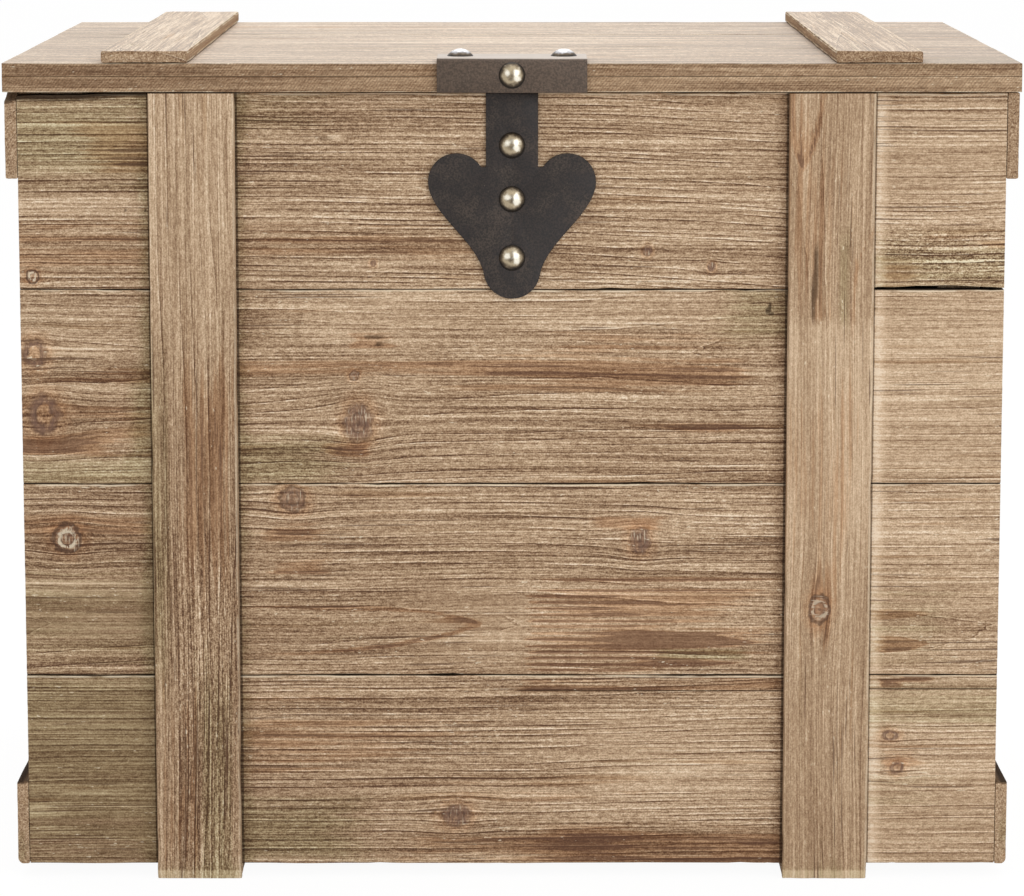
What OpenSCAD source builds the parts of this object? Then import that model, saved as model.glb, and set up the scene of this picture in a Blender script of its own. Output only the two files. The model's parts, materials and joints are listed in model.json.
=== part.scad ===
// Plank trunk: a nailed softwood box with battens, a hinged framed lid and blackened iron plates.
// Millimetres, +Z up, X across the front, the front looks along -Y.
// The origin is on the floor under the middle of the box.

/* [Box] */
// Width over the side boards
box_w = 560; // [460:2:900]
// Depth over the front and back boards
box_d = 406; // [320:2:600]
// Rows of boards in each wall
board_rows = 4; // [2:1:5]
// Height of one wall board
board_h = 112; // [90:1:140]
// Thickness of the wall boards
board_t = 12; // [11:0.5:18]
// Thickness of the floor boards
floor_t = 12; // [8:0.5:18]
// Floor boards side by side
floor_boards = 3; // [1:1:3]
// Side of the square corner posts inside
post_s = 25; // [18:1:40]
// Rounding of the sawn edges
edge_r = 0.6; // [0.3:0.1:1.2]

/* [Battens and cleats] */
// Width of the battens and runners
batten_w = 49; // [35:1:60]
// Thickness of the battens on the front and back
batten_t = 7; // [6:0.5:10]
// Distance from the box's end to the middle of a wall batten
batten_inset = 99; // [50:1:120]
// Height of the side cleats
cleat_h = 49; // [35:1:60]
// Thickness of the side cleats
cleat_t = 7; // [5:0.5:12]
// Rounding of the lower cleats' outer bottom edge
cleat_round = 3.5; // [1:0.5:5]
// Height of the runners under the floor
runner_h = 7; // [5:0.5:20]
// Space between the back battens' tops and the rim, where the open lid's lip swings
batten_drop = 10; // [9:0.5:20]

/* [Lid] */
// Lid boards side by side
lid_boards = 3; // [2:1:4]
// Thickness of the lid boards
lid_board_t = 7.5; // [6:0.5:12]
// Width of the rails under the lid boards
rail_w = 49; // [40:1:70]
// Thickness of the rails
rail_t = 9; // [8:0.5:14]
// Width of the lid battens
lid_batten_w = 49; // [35:1:60]
// Thickness of the lid battens
lid_batten_t = 7; // [5:0.5:12]
// Distance from the lid's end to the middle of a lid batten
lid_batten_inset = 80.3; // [50:0.1:120]
// Gap between the rim and the closed lid
lid_gap = 0.6; // [0.4:0.1:1.2]

/* [Iron plates] */
// Width of the plate bent over the lid's front edge
bracket_w = 84.6; // [75:0.2:110]
// Depth of that plate on the lid
bracket_depth = 35; // [30:1:60]
// Thickness of that plate
bracket_t = 3; // [2:0.25:4]
// Distance of its top nails from the middle
bracket_nail_x = 29.3; // [20:0.1:32]
// Distance of its top nails behind the lid's edge
bracket_nail_y = 17; // [12:0.5:22]
// Thickness of the spade plate
spade_t = 2; // [1.5:0.25:3]
// Width of the spade plate's strap
strap_w = 29.5; // [22:0.5:32]
// Depth of the strap's shoulders below the rim
shoulder_drop = 42; // [40:0.5:44]
// Radius of the two lobes
lobe_r = 16.2; // [15.5:0.1:17]
// Distance of the lobes' centres from the middle
lobe_x = 31.4; // [30:0.1:32.5]
// Depth of the lobes' centres below the rim
lobe_drop = 50.4; // [48:0.1:52]
// Length of the flank's pull where it leaves the lobe
flank_pull = 18; // [12:0.5:24]
// Length of the flank's pull where it meets the tip
waist_pull = 19; // [12:0.5:24]
// Radius of the tip
tip_r = 16; // [14:0.1:17]
// Depth of the tip's centre below the rim
tip_drop = 101; // [98:0.5:110]
// Depths of the three nails below the rim
spade_nail_drops = [29.7, 60.2, 93.6];

/* [Dome nails] */
// Radius of a nail's head
nail_head_r = 7.5; // [5:0.1:8]
// Height of a nail's head
nail_head_h = 4.2; // [3:0.1:5]
// Radius of a nail's shank
nail_r = 1.25; // [0.8:0.05:1.6]
// Length of a nail's shank, from the plate's outer face
nail_len = 12.5; // [10:0.5:13]

/* [Hinges] */
// Distance from the box's end to the middle of a hinge
hinge_inset = 170; // [162:1:180]
// Length of a hinge
hinge_len = 64; // [50:1:70]
// Thickness of a leaf
leaf_t = 1.5; // [1.2:0.1:1.8]
// Outer radius of the knuckles
knuckle_r = 3; // [2.6:0.1:3.4]
// Knuckles on a hinge, shared out in turn between its two leaves
knuckles = 5; // [3:2:7]
// Radius of the pin
pin_r = 1.5; // [1.2:0.1:1.7]
// Distance of the pin behind the back boards' face
pin_behind = 1; // [0.5:0.1:1.5]
// Distance between the two leaves when the lid is closed
leaf_gap = 0.2; // [0.1:0.05:0.4]
// Distance between neighbouring knuckles
knuckle_gap = 0.2; // [0.1:0.05:0.5]
// Distance of the outer screws from the hinge's middle
screw_x = 22; // [15:0.5:23]
// Radius of a screw's head
screw_head_r = 2.8; // [2.2:0.1:3.2]
// Height of a screw's countersunk head
screw_head_h = 1.1; // [0.8:0.1:1.2]
// Radius of a screw's shank
screw_r = 1.4; // [1:0.1:1.8]
// Length of the screws in the box
box_screw_len = 20; // [12:1:30]
// Length of the screws in the lid
lid_screw_len = 12.5; // [8:0.5:13]

/* [Clearances] */
// Radial clearance of the hinge pins in the knuckles
pin_clear = 0.05; // [0.02:0.01:0.1]
// Clearance of nails and screws in their holes
fastener_clear = 0.05; // [0.02:0.01:0.2]
// Clearance of the hinge leaves in their housings
leaf_clear = 0.2; // [0.1:0.05:0.4]
// Wood left in front of a hinge's housing
housing_edge = 0.5; // [0.3:0.1:1]
// Clearance round the turning knuckles
swing_clear = 0.3; // [0.2:0.05:0.5]

/* [Hidden] */
$fn = 64;
walls = ["front", "back", "left", "right"];
sides = [-1, 1];

// Levels, from the floor up
box_z = runner_h;
floor_top = box_z + floor_t;
rim_z = box_z + board_rows * board_h;
lid_z = rim_z + lid_gap;
lid_board_z = lid_z + rail_t;
lid_top = lid_board_z + lid_board_t;

// The lid lies flush with the battens and cleats
lid_w = box_w + 2 * cleat_t;
lid_d = box_d + 2 * batten_t;
lid_board_d = lid_d / lid_boards;
side_board_len = box_d - 2 * board_t;
floor_w = box_w - 2 * board_t;
batten_x = box_w / 2 - batten_inset;
lid_batten_x = lid_w / 2 - lid_batten_inset;
floor_board_d = (box_d - 2 * board_t) / floor_boards;

// The hinges' axis, and where the leaves lie about it
hinge_x = box_w / 2 - hinge_inset;
pin_y = box_d / 2 + pin_behind;
pin_z = rim_z + lid_gap / 2;
leaf_y0 = box_d / 2 - board_t + leaf_clear + housing_edge;
leaf_y1 = pin_y - knuckle_r - leaf_clear;
screw_y = (leaf_y0 + leaf_y1) / 2;
knuckle_pitch = (hinge_len + knuckle_gap) / knuckles;

// How far a cut runs past the face that it opens
through = 1;

// The dome is a cap of a sphere
dome_r = (nail_head_r * nail_head_r + nail_head_h * nail_head_h) / (2 * nail_head_h);
bracket_nail_z = (lid_z + lid_top + bracket_t) / 2;

// The spade's outline on its right side, with the rim at 0. Each flank is one curve that
// leaves the lobe and meets the tip along their own rounds.
curve_steps = 14;
lobe = [lobe_x, -lobe_drop];
tip = [0, -tip_drop];
shoulder_angle = 180 - asin((lobe_drop - shoulder_drop) / lobe_r);
flank_angle = -13;
tip_angle = -10;
flank = [arc_point(lobe, lobe_r, flank_angle),
         arc_point(lobe, lobe_r, flank_angle) + flank_pull * [sin(flank_angle), -cos(flank_angle)],
         arc_point(tip, tip_r, tip_angle) - waist_pull * [sin(tip_angle), -cos(tip_angle)],
         arc_point(tip, tip_r, tip_angle)];
spade_side = concat(
    [[strap_w / 2, 0], [strap_w / 2, -shoulder_drop]],
    arc(lobe, lobe_r, shoulder_angle, flank_angle),
    [for (i = [1 : curve_steps - 1]) curve_point(flank, i / curve_steps)],
    arc(tip, tip_r, tip_angle, -90));

wood = [0.66, 0.54, 0.42];
pale_wood = [0.72, 0.61, 0.48];
inner_wood = [0.75, 0.64, 0.5];
iron = [0.26, 0.23, 0.21];
brass = [0.62, 0.56, 0.44];
steel = [0.5, 0.5, 0.5];

function side_name(s) = s < 0 ? "left" : "right";

function arc_point(centre, r, a) = centre + r * [cos(a), sin(a)];
function arc(centre, r, from, to) =
    [for (i = [0 : curve_steps]) arc_point(centre, r, from + (to - from) * i / curve_steps)];

// A cubic curve through two end points, drawn by the two between them
function curve_point(p, t) =
    pow(1 - t, 3) * p[0] + 3 * t * pow(1 - t, 2) * p[1]
    + 3 * t * t * (1 - t) * p[2] + pow(t, 3) * p[3];

// A rectangle with its four corners rounded, centred on the origin
function rounded(w, h, r, steps = 3) = [
    for (corner = [0 : 3], i = [0 : steps])
        let (a = 90 * corner + 90 * i / steps,
             sx = corner == 0 || corner == 3 ? 1 : -1,
             sy = corner < 2 ? 1 : -1)
        [sx * (w / 2 - r) + r * cos(a), sy * (h / 2 - r) + r * sin(a)]];

// Boards along X, Y and Z, each centred on the origin and as wide and thick as asked
module board_along_x(len, depth, height)
    rotate([90, 0, 90]) linear_extrude(len, center = true)
        polygon(rounded(depth, height, edge_r));

module board_along_y(len, width, height)
    rotate([90, 0, 0]) linear_extrude(len, center = true)
        polygon(rounded(width, height, edge_r));

module board_along_z(len, width, depth)
    linear_extrude(len, center = true) polygon(rounded(width, depth, edge_r));

// Nails and screws stand on z = 0, with their heads up
module dome_nail() {
    intersection() {
        translate([0, 0, nail_head_h - dome_r]) sphere(dome_r);
        cylinder(r = nail_head_r, h = nail_head_h);
    }
    translate([0, 0, -nail_len]) cylinder(r = nail_r, h = nail_len);
}

module nail_hole()
    translate([0, 0, -nail_len - fastener_clear])
        cylinder(r = nail_r + fastener_clear, h = nail_len + fastener_clear + through);

module screw(len) {
    translate([0, 0, -screw_head_h]) cylinder(r1 = screw_r, r2 = screw_head_r, h = screw_head_h);
    translate([0, 0, -len]) cylinder(r = screw_r, h = len - screw_head_h);
}

// The hole leaves room round the head's cone and the shank
module screw_hole(len) {
    translate([0, 0, -screw_head_h])
        cylinder(r1 = screw_r + fastener_clear, r2 = screw_head_r + fastener_clear, h = screw_head_h);
    translate([0, 0, -len - fastener_clear])
        cylinder(r = screw_r + fastener_clear, h = len + fastener_clear);
    cylinder(r = screw_head_r + fastener_clear, h = through);
}

module at_spade_nails()
    for (drop = spade_nail_drops)
        translate([0, -box_d / 2 - spade_t, rim_z - drop]) rotate([90, 0, 0]) children();

module at_bracket_nails() {
    translate([0, -lid_d / 2 - bracket_t, bracket_nail_z]) rotate([90, 0, 0]) children();
    for (s = sides)
        translate([s * bracket_nail_x, -lid_d / 2 + bracket_nail_y, lid_top + bracket_t]) children();
}

module at_hinges() for (s = sides) translate([s * hinge_x, 0, 0]) children();

module at_box_screws()
    at_hinges() for (x = [-screw_x, 0, screw_x])
        translate([x, screw_y, pin_z - leaf_gap / 2]) children();

module at_lid_screws()
    at_hinges() for (x = [-screw_x, 0, screw_x])
        translate([x, screw_y, pin_z + leaf_gap / 2]) mirror([0, 0, 1]) children();

// Housings for the hinges: one in the rim of the back wall, one in the lid's back rail
module hinge_housing(leaf_z, knuckle_z)
    at_hinges() translate([-hinge_len / 2 - leaf_clear, 0, 0]) {
        translate([0, leaf_y0 - leaf_clear, leaf_z[0]])
            cube([hinge_len + 2 * leaf_clear, lid_d / 2 + through - leaf_y0, leaf_z[1] - leaf_z[0]]);
        translate([0, pin_y - knuckle_r - swing_clear, knuckle_z[0]])
            cube([hinge_len + 2 * leaf_clear, lid_d, knuckle_z[1] - knuckle_z[0]]);
    }

module box_housing()
    hinge_housing([pin_z - leaf_gap / 2 - leaf_t, rim_z + through],
                  [pin_z - knuckle_r - swing_clear, rim_z + through]);

module lid_housing()
    hinge_housing([lid_z - through, pin_z + leaf_gap / 2 + leaf_t],
                  [lid_z - through, pin_z + knuckle_r + swing_clear]);

// Walls, built up from the floor in rows
function row_z(row) = box_z + (row - 0.5) * board_h;

module front_board(row) color(wood)
    difference() {
        translate([0, -(box_d - board_t) / 2, row_z(row)]) board_along_x(box_w, board_t, board_h);
        at_spade_nails() nail_hole();
    }

module back_board(row) color(wood)
    difference() {
        translate([0, (box_d - board_t) / 2, row_z(row)]) board_along_x(box_w, board_t, board_h);
        box_housing();
        at_box_screws() screw_hole(box_screw_len);
    }

module side_board(s, row) color(wood)
    translate([s * (box_w - board_t) / 2, 0, row_z(row)])
        board_along_y(side_board_len, board_t, board_h);

module post(s, end) color(inner_wood)
    translate([s * (box_w / 2 - board_t - post_s / 2), end * (box_d / 2 - board_t - post_s / 2),
               (floor_top + rim_z) / 2])
        board_along_z(rim_z - floor_top, post_s, post_s);

module floor_board(i) color(inner_wood)
    translate([0, -box_d / 2 + board_t + (i - 0.5) * floor_board_d, box_z + floor_t / 2])
        board_along_x(floor_w, floor_board_d, floor_t);

module runner(s) color(wood)
    translate([s * batten_x, 0, runner_h / 2]) board_along_y(box_d, batten_w, runner_h);

// Battens stand on the floor and cover the runners' ends
module front_batten(s) color(pale_wood)
    translate([s * batten_x, -(box_d + batten_t) / 2, rim_z / 2])
        board_along_z(rim_z, batten_w, batten_t);

module back_batten(s) color(pale_wood)
    translate([s * batten_x, (box_d + batten_t) / 2, (rim_z - batten_drop) / 2])
        board_along_z(rim_z - batten_drop, batten_w, batten_t);

module top_cleat(s) color(pale_wood)
    translate([s * (box_w + cleat_t) / 2, 0, rim_z - cleat_h / 2])
        board_along_y(box_d, cleat_t, cleat_h);

// The lower cleat's outer bottom edge is worn round
module bottom_cleat(s) color(pale_wood)
    intersection() {
        translate([s * (box_w + cleat_t) / 2, 0, box_z + cleat_h / 2])
            board_along_y(box_d, cleat_t, cleat_h);
        translate([s * box_w / 2, 0, box_z + cleat_h / 2]) rotate([90, 0, 0])
            linear_extrude(box_d, center = true)
                polygon(rounded(2 * cleat_t, cleat_h, cleat_round, 6));
    }

// Lid: boards on a frame of four rails, with two battens across
module lid_rail_front() color(wood)
    difference() {
        translate([0, (rail_w - lid_d) / 2, lid_z + rail_t / 2])
            board_along_x(lid_w, rail_w, rail_t);
        at_bracket_nails() nail_hole();
    }

module lid_rail_back() color(wood)
    difference() {
        translate([0, (lid_d - rail_w) / 2, lid_z + rail_t / 2])
            board_along_x(lid_w, rail_w, rail_t);
        lid_housing();
        at_lid_screws() screw_hole(lid_screw_len);
    }

module lid_rail_side(s) color(wood)
    translate([s * (lid_w - rail_w) / 2, 0, lid_z + rail_t / 2])
        board_along_y(lid_d - 2 * rail_w, rail_w, rail_t);

module lid_board(i) color(pale_wood)
    difference() {
        translate([0, -lid_d / 2 + (i - 0.5) * lid_board_d, lid_board_z + lid_board_t / 2])
            board_along_x(lid_w, lid_board_d, lid_board_t);
        at_bracket_nails() nail_hole();
        at_lid_screws() screw_hole(lid_screw_len);
    }

module lid_batten(s) color(pale_wood)
    translate([s * lid_batten_x, 0, lid_top + lid_batten_t / 2])
        board_along_y(lid_d, lid_batten_w, lid_batten_t);

// Iron plate bent over the lid's front edge, round on the outside of the bend
module lid_bracket() color(iron)
    difference() {
        translate([0, -lid_d / 2, lid_top]) rotate([90, 0, 90])
            linear_extrude(bracket_w, center = true) union() {
                translate([-bracket_t, lid_z - lid_top]) square([bracket_t, lid_top - lid_z]);
                square([bracket_depth, bracket_t]);
                intersection() {
                    circle(bracket_t);
                    translate([-bracket_t, 0]) square([bracket_t, bracket_t]);
                }
            }
        at_bracket_nails() nail_hole();
    }

module lid_bracket_nails() color(brass) at_bracket_nails() dome_nail();

// Strap, two lobes and a tip, cut from one plate
module spade_plate() color(iron)
    difference() {
        translate([0, -box_d / 2, rim_z]) rotate([90, 0, 0]) linear_extrude(spade_t)
            polygon(concat(spade_side,
                [for (i = [len(spade_side) - 2 : -1 : 0]) [-spade_side[i][0], spade_side[i][1]]]));
        at_spade_nails() nail_hole();
    }

module spade_nails() color(brass) at_spade_nails() dome_nail();

// A leaf with every other knuckle from the first on. Its plate lies above or below the pin.
module hinge_leaf(first, up) color(steel) {
    plate_z = pin_z + (up < 0 ? -leaf_gap / 2 - leaf_t : leaf_gap / 2);
    knuckle_len = knuckle_pitch - knuckle_gap;
    difference() {
        union() {
            translate([-hinge_len / 2, leaf_y0, plate_z])
                cube([hinge_len, leaf_y1 - leaf_y0, leaf_t]);
            for (k = [first : 2 : knuckles - 1]) translate([-hinge_len / 2 + k * knuckle_pitch, 0, 0]) {
                translate([0, pin_y, pin_z]) rotate([0, 90, 0]) cylinder(r = knuckle_r, h = knuckle_len);
                translate([0, leaf_y1 - leaf_clear, plate_z])
                    cube([knuckle_len, pin_y - leaf_y1 + leaf_clear, leaf_t]);
            }
        }
        translate([-hinge_len / 2 - through, pin_y, pin_z]) rotate([0, 90, 0])
            cylinder(r = pin_r + pin_clear, h = hinge_len + 2 * through);
        for (x = [-screw_x, 0, screw_x])
            translate([x, screw_y, pin_z + up * leaf_gap / 2]) mirror([0, 0, max(up, 0)])
                screw_hole(box_screw_len);
    }
}

module hinge_box_leaf(s) translate([s * hinge_x, 0, 0]) hinge_leaf(0, -1);
module hinge_lid_leaf(s) translate([s * hinge_x, 0, 0]) hinge_leaf(1, 1);

module hinge_pin(s) color(steel)
    translate([s * hinge_x - hinge_len / 2, pin_y, pin_z]) rotate([0, 90, 0])
        cylinder(r = pin_r, h = hinge_len);

module hinge_box_screws() color(steel) at_box_screws() screw(box_screw_len);
module hinge_lid_screws() color(steel) at_lid_screws() screw(lid_screw_len);

for (row = [1 : board_rows]) {
    front_board(row);
    back_board(row);
    side_board(-1, row);
    side_board(1, row);
}
for (i = [1 : floor_boards])
    floor_board(i);
for (i = [1 : lid_boards])
    lid_board(i);
lid_rail_front();
lid_rail_back();
lid_rail_side(-1);  // lid_rail_left
lid_rail_side(1);  // lid_rail_right
for (s = sides) {
    front_batten(s);
    back_batten(s);
    lid_batten(s);
    runner(s);
    top_cleat(s);
    bottom_cleat(s);
    post(s, -1);
    post(s, 1);
    hinge_box_leaf(s);
    hinge_lid_leaf(s);
    hinge_pin(s);
}
lid_bracket();
lid_bracket_nails();
spade_plate();
spade_nails();
hinge_box_screws();
hinge_lid_screws();
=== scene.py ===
"""Finish of a plank trunk: brushed and weathered boards, iron plates, dome nails and hinges."""

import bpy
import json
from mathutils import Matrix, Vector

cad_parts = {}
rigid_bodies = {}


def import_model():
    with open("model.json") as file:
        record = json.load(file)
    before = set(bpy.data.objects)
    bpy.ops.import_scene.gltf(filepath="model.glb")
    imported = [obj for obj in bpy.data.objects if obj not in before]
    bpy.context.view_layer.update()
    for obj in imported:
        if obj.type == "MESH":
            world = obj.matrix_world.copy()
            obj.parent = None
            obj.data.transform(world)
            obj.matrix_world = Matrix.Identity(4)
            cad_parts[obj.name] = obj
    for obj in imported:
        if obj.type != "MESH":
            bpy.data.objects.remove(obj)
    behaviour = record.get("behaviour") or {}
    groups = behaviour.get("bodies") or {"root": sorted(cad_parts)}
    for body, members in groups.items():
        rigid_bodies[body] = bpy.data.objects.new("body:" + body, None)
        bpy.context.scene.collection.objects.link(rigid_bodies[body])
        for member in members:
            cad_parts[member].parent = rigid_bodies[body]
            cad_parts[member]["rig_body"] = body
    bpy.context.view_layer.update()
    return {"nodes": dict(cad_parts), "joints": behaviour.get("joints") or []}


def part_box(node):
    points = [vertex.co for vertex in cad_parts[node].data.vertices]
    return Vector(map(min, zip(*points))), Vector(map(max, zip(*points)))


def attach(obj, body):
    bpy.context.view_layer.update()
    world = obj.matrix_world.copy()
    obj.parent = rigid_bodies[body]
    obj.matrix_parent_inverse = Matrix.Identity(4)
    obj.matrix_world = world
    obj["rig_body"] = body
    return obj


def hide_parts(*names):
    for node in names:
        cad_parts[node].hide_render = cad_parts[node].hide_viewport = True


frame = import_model()

import itertools
import json
import math
from dataclasses import dataclass, replace

import bmesh
import bpy
import numpy as np
from bpy.props import FloatProperty, FloatVectorProperty, PointerProperty
from mathutils import Matrix, Vector

bl_info = {
    "name": "Plank Trunk",
    "version": (1, 0, 0),
    "blender": (4, 5, 0),
    "location": "View3D > Sidebar > Trunk",
    "description": "Finishes a plank trunk: brushed boards, iron plates, nails and hinges",
    "category": "Object",
}

MM = 0.001
ROWS = (1, 2, 3, 4)
ACROSS = (1, 2, 3)
# Wider mesh lines for the boards that the front doesn't show
COARSE = {"step": 2.2, "along": 9.0}
COARSER = {"step": 3.0, "along": 12.0}
SIDES = {"left": -1, "right": 1}
ALONG_X, ALONG_Y, ALONG_Z = (1, 0, 0), (0, 1, 0), (0, 0, 1)
FRONTWARD, BACKWARD, UPWARD, DOWNWARD = (0, -1, 0), (0, 1, 0), (0, 0, 1), (0, 0, -1)


def srgb(red, green, blue):
    """A linear colour from screen values of 0 to 255."""
    shares = [value / 255 for value in (red, green, blue)]
    return tuple(s / 12.92 if s <= 0.04045 else ((s + 0.055) / 1.055) ** 2.4 for s in shares)


def colour(name, description, *screen):
    """A colour property with its default in screen values."""
    return FloatVectorProperty(name=name, description=description, subtype="COLOR", size=3,
                               min=0.0, max=1.0, default=srgb(*screen))


def length(name, description, millimetres):
    """A length property with its default in millimetres."""
    return FloatProperty(name=name, description=description, unit="LENGTH", precision=5,
                         min=0.0, default=millimetres * MM)


class TrunkSizes(bpy.types.PropertyGroup):
    """Sizes of the finish, which stay inside the frame's solids."""

    arris: length("Arris", "Radius worn on the long edges of the boards", 1.1)
    end_arris: length("End arris", "Radius worn on the boards' ends", 0.5)
    groove: length("Groove", "Depth to which the soft wood is brushed away", 0.26)
    chip: length("Chip", "Depth of the larger chips along an edge", 1.5)
    face_step: length("Face step", "Spacing of mesh lines across a board's face", 1.25)
    grain_step: length("Grain step", "Spacing of mesh lines along the grain", 7.0)
    plate_bevel: length("Plate bevel", "Bevel on the edges of the iron plates", 0.35)
    hinge_bevel: length("Hinge bevel", "Bevel on the edges of the hinges", 0.15)


class TrunkColours(bpy.types.PropertyGroup):
    """Colours of the woods and metals."""

    darkest: colour("Darkest", "Cracks and the deepest lines of the wood", 92, 66, 50)
    dark: colour("Dark", "Dark lines of the wood", 126, 98, 74)
    middle: colour("Middle", "Middle tone of the wood", 174, 146, 117)
    light: colour("Light", "Light lines of the wood", 218, 192, 162)
    lightest: colour("Lightest", "Brightest fibres of the wood", 244, 226, 202)
    # Also a painted sheen on the faces turned up, of the lid and of the bracket's iron
    bleached_and_sheen: colour("Bleached", "Tone that the lid is bleached to", 220, 209, 198)
    warm: colour("Warm", "Tint of the reddish stains, multiplied", 255, 242, 232)
    deep: colour("Deep", "Darkest reddish stain", 104, 76, 62)
    green: colour("Green", "Tint of the greenish weathering, multiplied", 243, 253, 244)
    # Also the painted highlight on the long edges turned to the light
    wash_and_highlight: colour("Wash", "Rests of a pale wash", 238, 224, 198)
    knot: colour("Knot", "Inside of a knot", 116, 90, 78)
    knot_rim: colour("Knot rim", "Ring round a knot", 76, 56, 46)
    # Also painted shade: in the joints, under the lid, along the battens' edges and in a cleat's
    # chipped corner
    soot_and_shade: colour("Soot And Shade", "Dirt in joints and corners", 46, 35, 26)
    iron: colour("Iron", "Blackened iron of the spade plate", 33, 25, 22)
    bent_iron: colour("Bent iron", "Browner iron of the lid's bracket", 83, 68, 56)
    iron_edge: colour("Iron edge", "Iron where it is rubbed", 96, 84, 74)
    brass: colour("Brass", "Aged brass of the dome nails", 176, 160, 132)
    # Also painted shade near the nails' rims and a painted dark reflection on the top of their
    # heads
    dark_brass_and_shade: colour("Dark brass", "Aged brass near the rim", 92, 78, 60)
    # Painted highlights on three spots of each dome nail
    brass_highlight: colour("Bright brass", "Rubbed facets of the dome nails", 248, 242, 226)
    # Also a painted sheen on the nails that face up
    silver_and_sheen: colour("Silver", "Worn heads of the nails on the lid", 170, 170, 174)
    # Painted highlight on the heads of the nails that face up
    bare_highlight: colour("Bare", "Metal rubbed bright on the lid's nails", 255, 255, 255)
    # Also the painted contact shadow round the rim of each nail
    patina_and_shadow: colour("Patina", "Dark rim of the dome nails", 40, 33, 26)
    steel: colour("Steel", "Hinges, pins and screws", 150, 148, 144)
    floor: colour("Floor", "Studio floor", 236, 236, 236)


class TrunkStudio(bpy.types.PropertyGroup):
    """Camera and lamps."""

    distance: length("Distance", "From the camera to the trunk's middle, along the floor", 2435)
    height: length("Height", "Height of the camera above the floor", 618)
    lens: FloatProperty(name="Lens", description="Focal length in millimetres", default=139.0)
    pitch: FloatProperty(name="Pitch", description="How far the camera looks down",
                         subtype="ANGLE", default=math.radians(8.45))
    shift: FloatProperty(name="Shift", description="Vertical lens shift", default=-0.0586)
    sky: FloatProperty(name="Sky", description="Strength of the even light", default=0.68)
    top: FloatProperty(name="Top lamp", description="Power of the lamp above", unit="POWER",
                       default=20.0)
    front: FloatProperty(name="Front lamp", description="Power of the lamp in front",
                         unit="POWER", default=22.0)


# Smooth noise for the meshes

def cell_value(seed, cells):
    """A fixed value from -1 to 1 for each whole-number cell."""
    mixed = np.full(cells[0].shape, seed + 1, np.uint64)
    for cell in cells:
        mixed = (mixed ^ cell.astype(np.int64).view(np.uint64)) * np.uint64(0x9E3779B97F4A7C15)
        mixed ^= mixed >> np.uint64(29)
    return (mixed >> np.uint64(11)).astype(float) / 2 ** 52 - 1


def ripple(seed, *places):
    """Smooth noise from -1 to 1 that changes over about one unit of each place."""
    places = np.broadcast_arrays(*[np.asarray(place, float) for place in places])
    cells = [np.floor(place).astype(np.int64) for place in places]
    eased = [(place - cell) ** 2 * (3 - 2 * (place - cell)) for place, cell in zip(places, cells)]
    total = np.zeros(places[0].shape)
    for corner in itertools.product((0, 1), repeat=len(places)):
        weight = np.prod([ease if step else 1 - ease for step, ease in zip(corner, eased)], axis=0)
        total += weight * cell_value(seed, [cell + step for cell, step in zip(cells, corner)])
    return total


def fade(values, low, high):
    """0 below low, 1 above high and smooth between."""
    share = np.clip((values - low) / (high - low), 0, 1)
    return share * share * (3 - 2 * share)


# Figure of a board: how it was sawn, and what shows on it

@dataclass
class Figure:
    """All lengths in mm: x along the grain from the middle, y across from the centre line.

    pith: where the tree's heart lies, across and below the face
    lean: how far the heart drifts across and down in each mm of length
    knots: (x, y, half length, half width, 0 for a dark knot to 1 for a ringed one, or -1 for
        one with a pale heart)
    warm, green, tone, dark: stains of (x from, x to, y, half width, strength, fade at each end);
    tone and dark also hold painted light and shade
    quiet: stains inside which the grain is fainter, or rougher where their strength is below 0
    flames: (x and y of the tip, height above and below it, the runs over which these are
        reached, length, width of its outline or 0 where it is filled, strength)
    chips: (x, side of the edge, half length, depth)
    marks, levels: more mesh lines across and along the board, for stains with sharp edges
    """

    seed: int = 1
    pith: tuple = (20.0, 70.0)
    lean: tuple = (0.0, 0.01)
    ring: float = 3.2
    knots: tuple = ()
    warm: tuple = ()
    green: tuple = ()
    tone: tuple = ()
    dark: tuple = ()
    quiet: tuple = ()
    flames: tuple = ()
    base: float = 0.0
    chips: tuple = ()
    marks: tuple = ()
    levels: tuple = ()


def stain_field(stains, x, y):
    """The sum of several stains, each soft across and at its ends."""
    field = np.zeros(x.shape)
    for start, stop, middle, half, strength, soft_start, soft_stop in stains:
        across = np.clip(1.5 - np.abs(y - middle) / half, 0, 1)
        along = np.clip((x - start) / soft_start + 0.5, 0, 1)
        along = np.minimum(along, np.clip((stop - x) / soft_stop + 0.5, 0, 1))
        field = field + strength * np.minimum(across, along)
    return field


def flame_field(flames, x, y):
    """Pointed figures that open to the left of their tips, or right if their length is below 0."""
    field = np.zeros(x.shape)
    for tip_x, tip_y, above, below, run_above, run_below, extent, outline, strength in flames:
        off_tip = (tip_x - x) * (1 if extent > 0 else -1)
        extent = abs(extent)
        past = np.maximum(off_tip, 0)
        top = tip_y + above * (1 - np.exp(-past / run_above))
        bottom = tip_y - below * (1 - np.exp(-past / run_below))
        inside = np.clip(np.minimum(top - y, y - bottom) / 1.1 + 0.5, 0, 1)
        if outline:
            off = np.minimum(np.abs(y - top), np.abs(y - bottom))
            drawn = np.clip(1.5 - off / outline, 0, 1) * (0.55 + 0.45 * np.exp(-past / 50))
            inside = np.maximum(drawn, inside * np.exp(-past / 12))
        along = np.clip((extent - off_tip) / (0.4 * extent) + 0.5, 0, 1)
        along = np.minimum(along, np.clip(off_tip / 3 + 1, 0, 1))
        field = field + strength * inside * along
    return field


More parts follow.
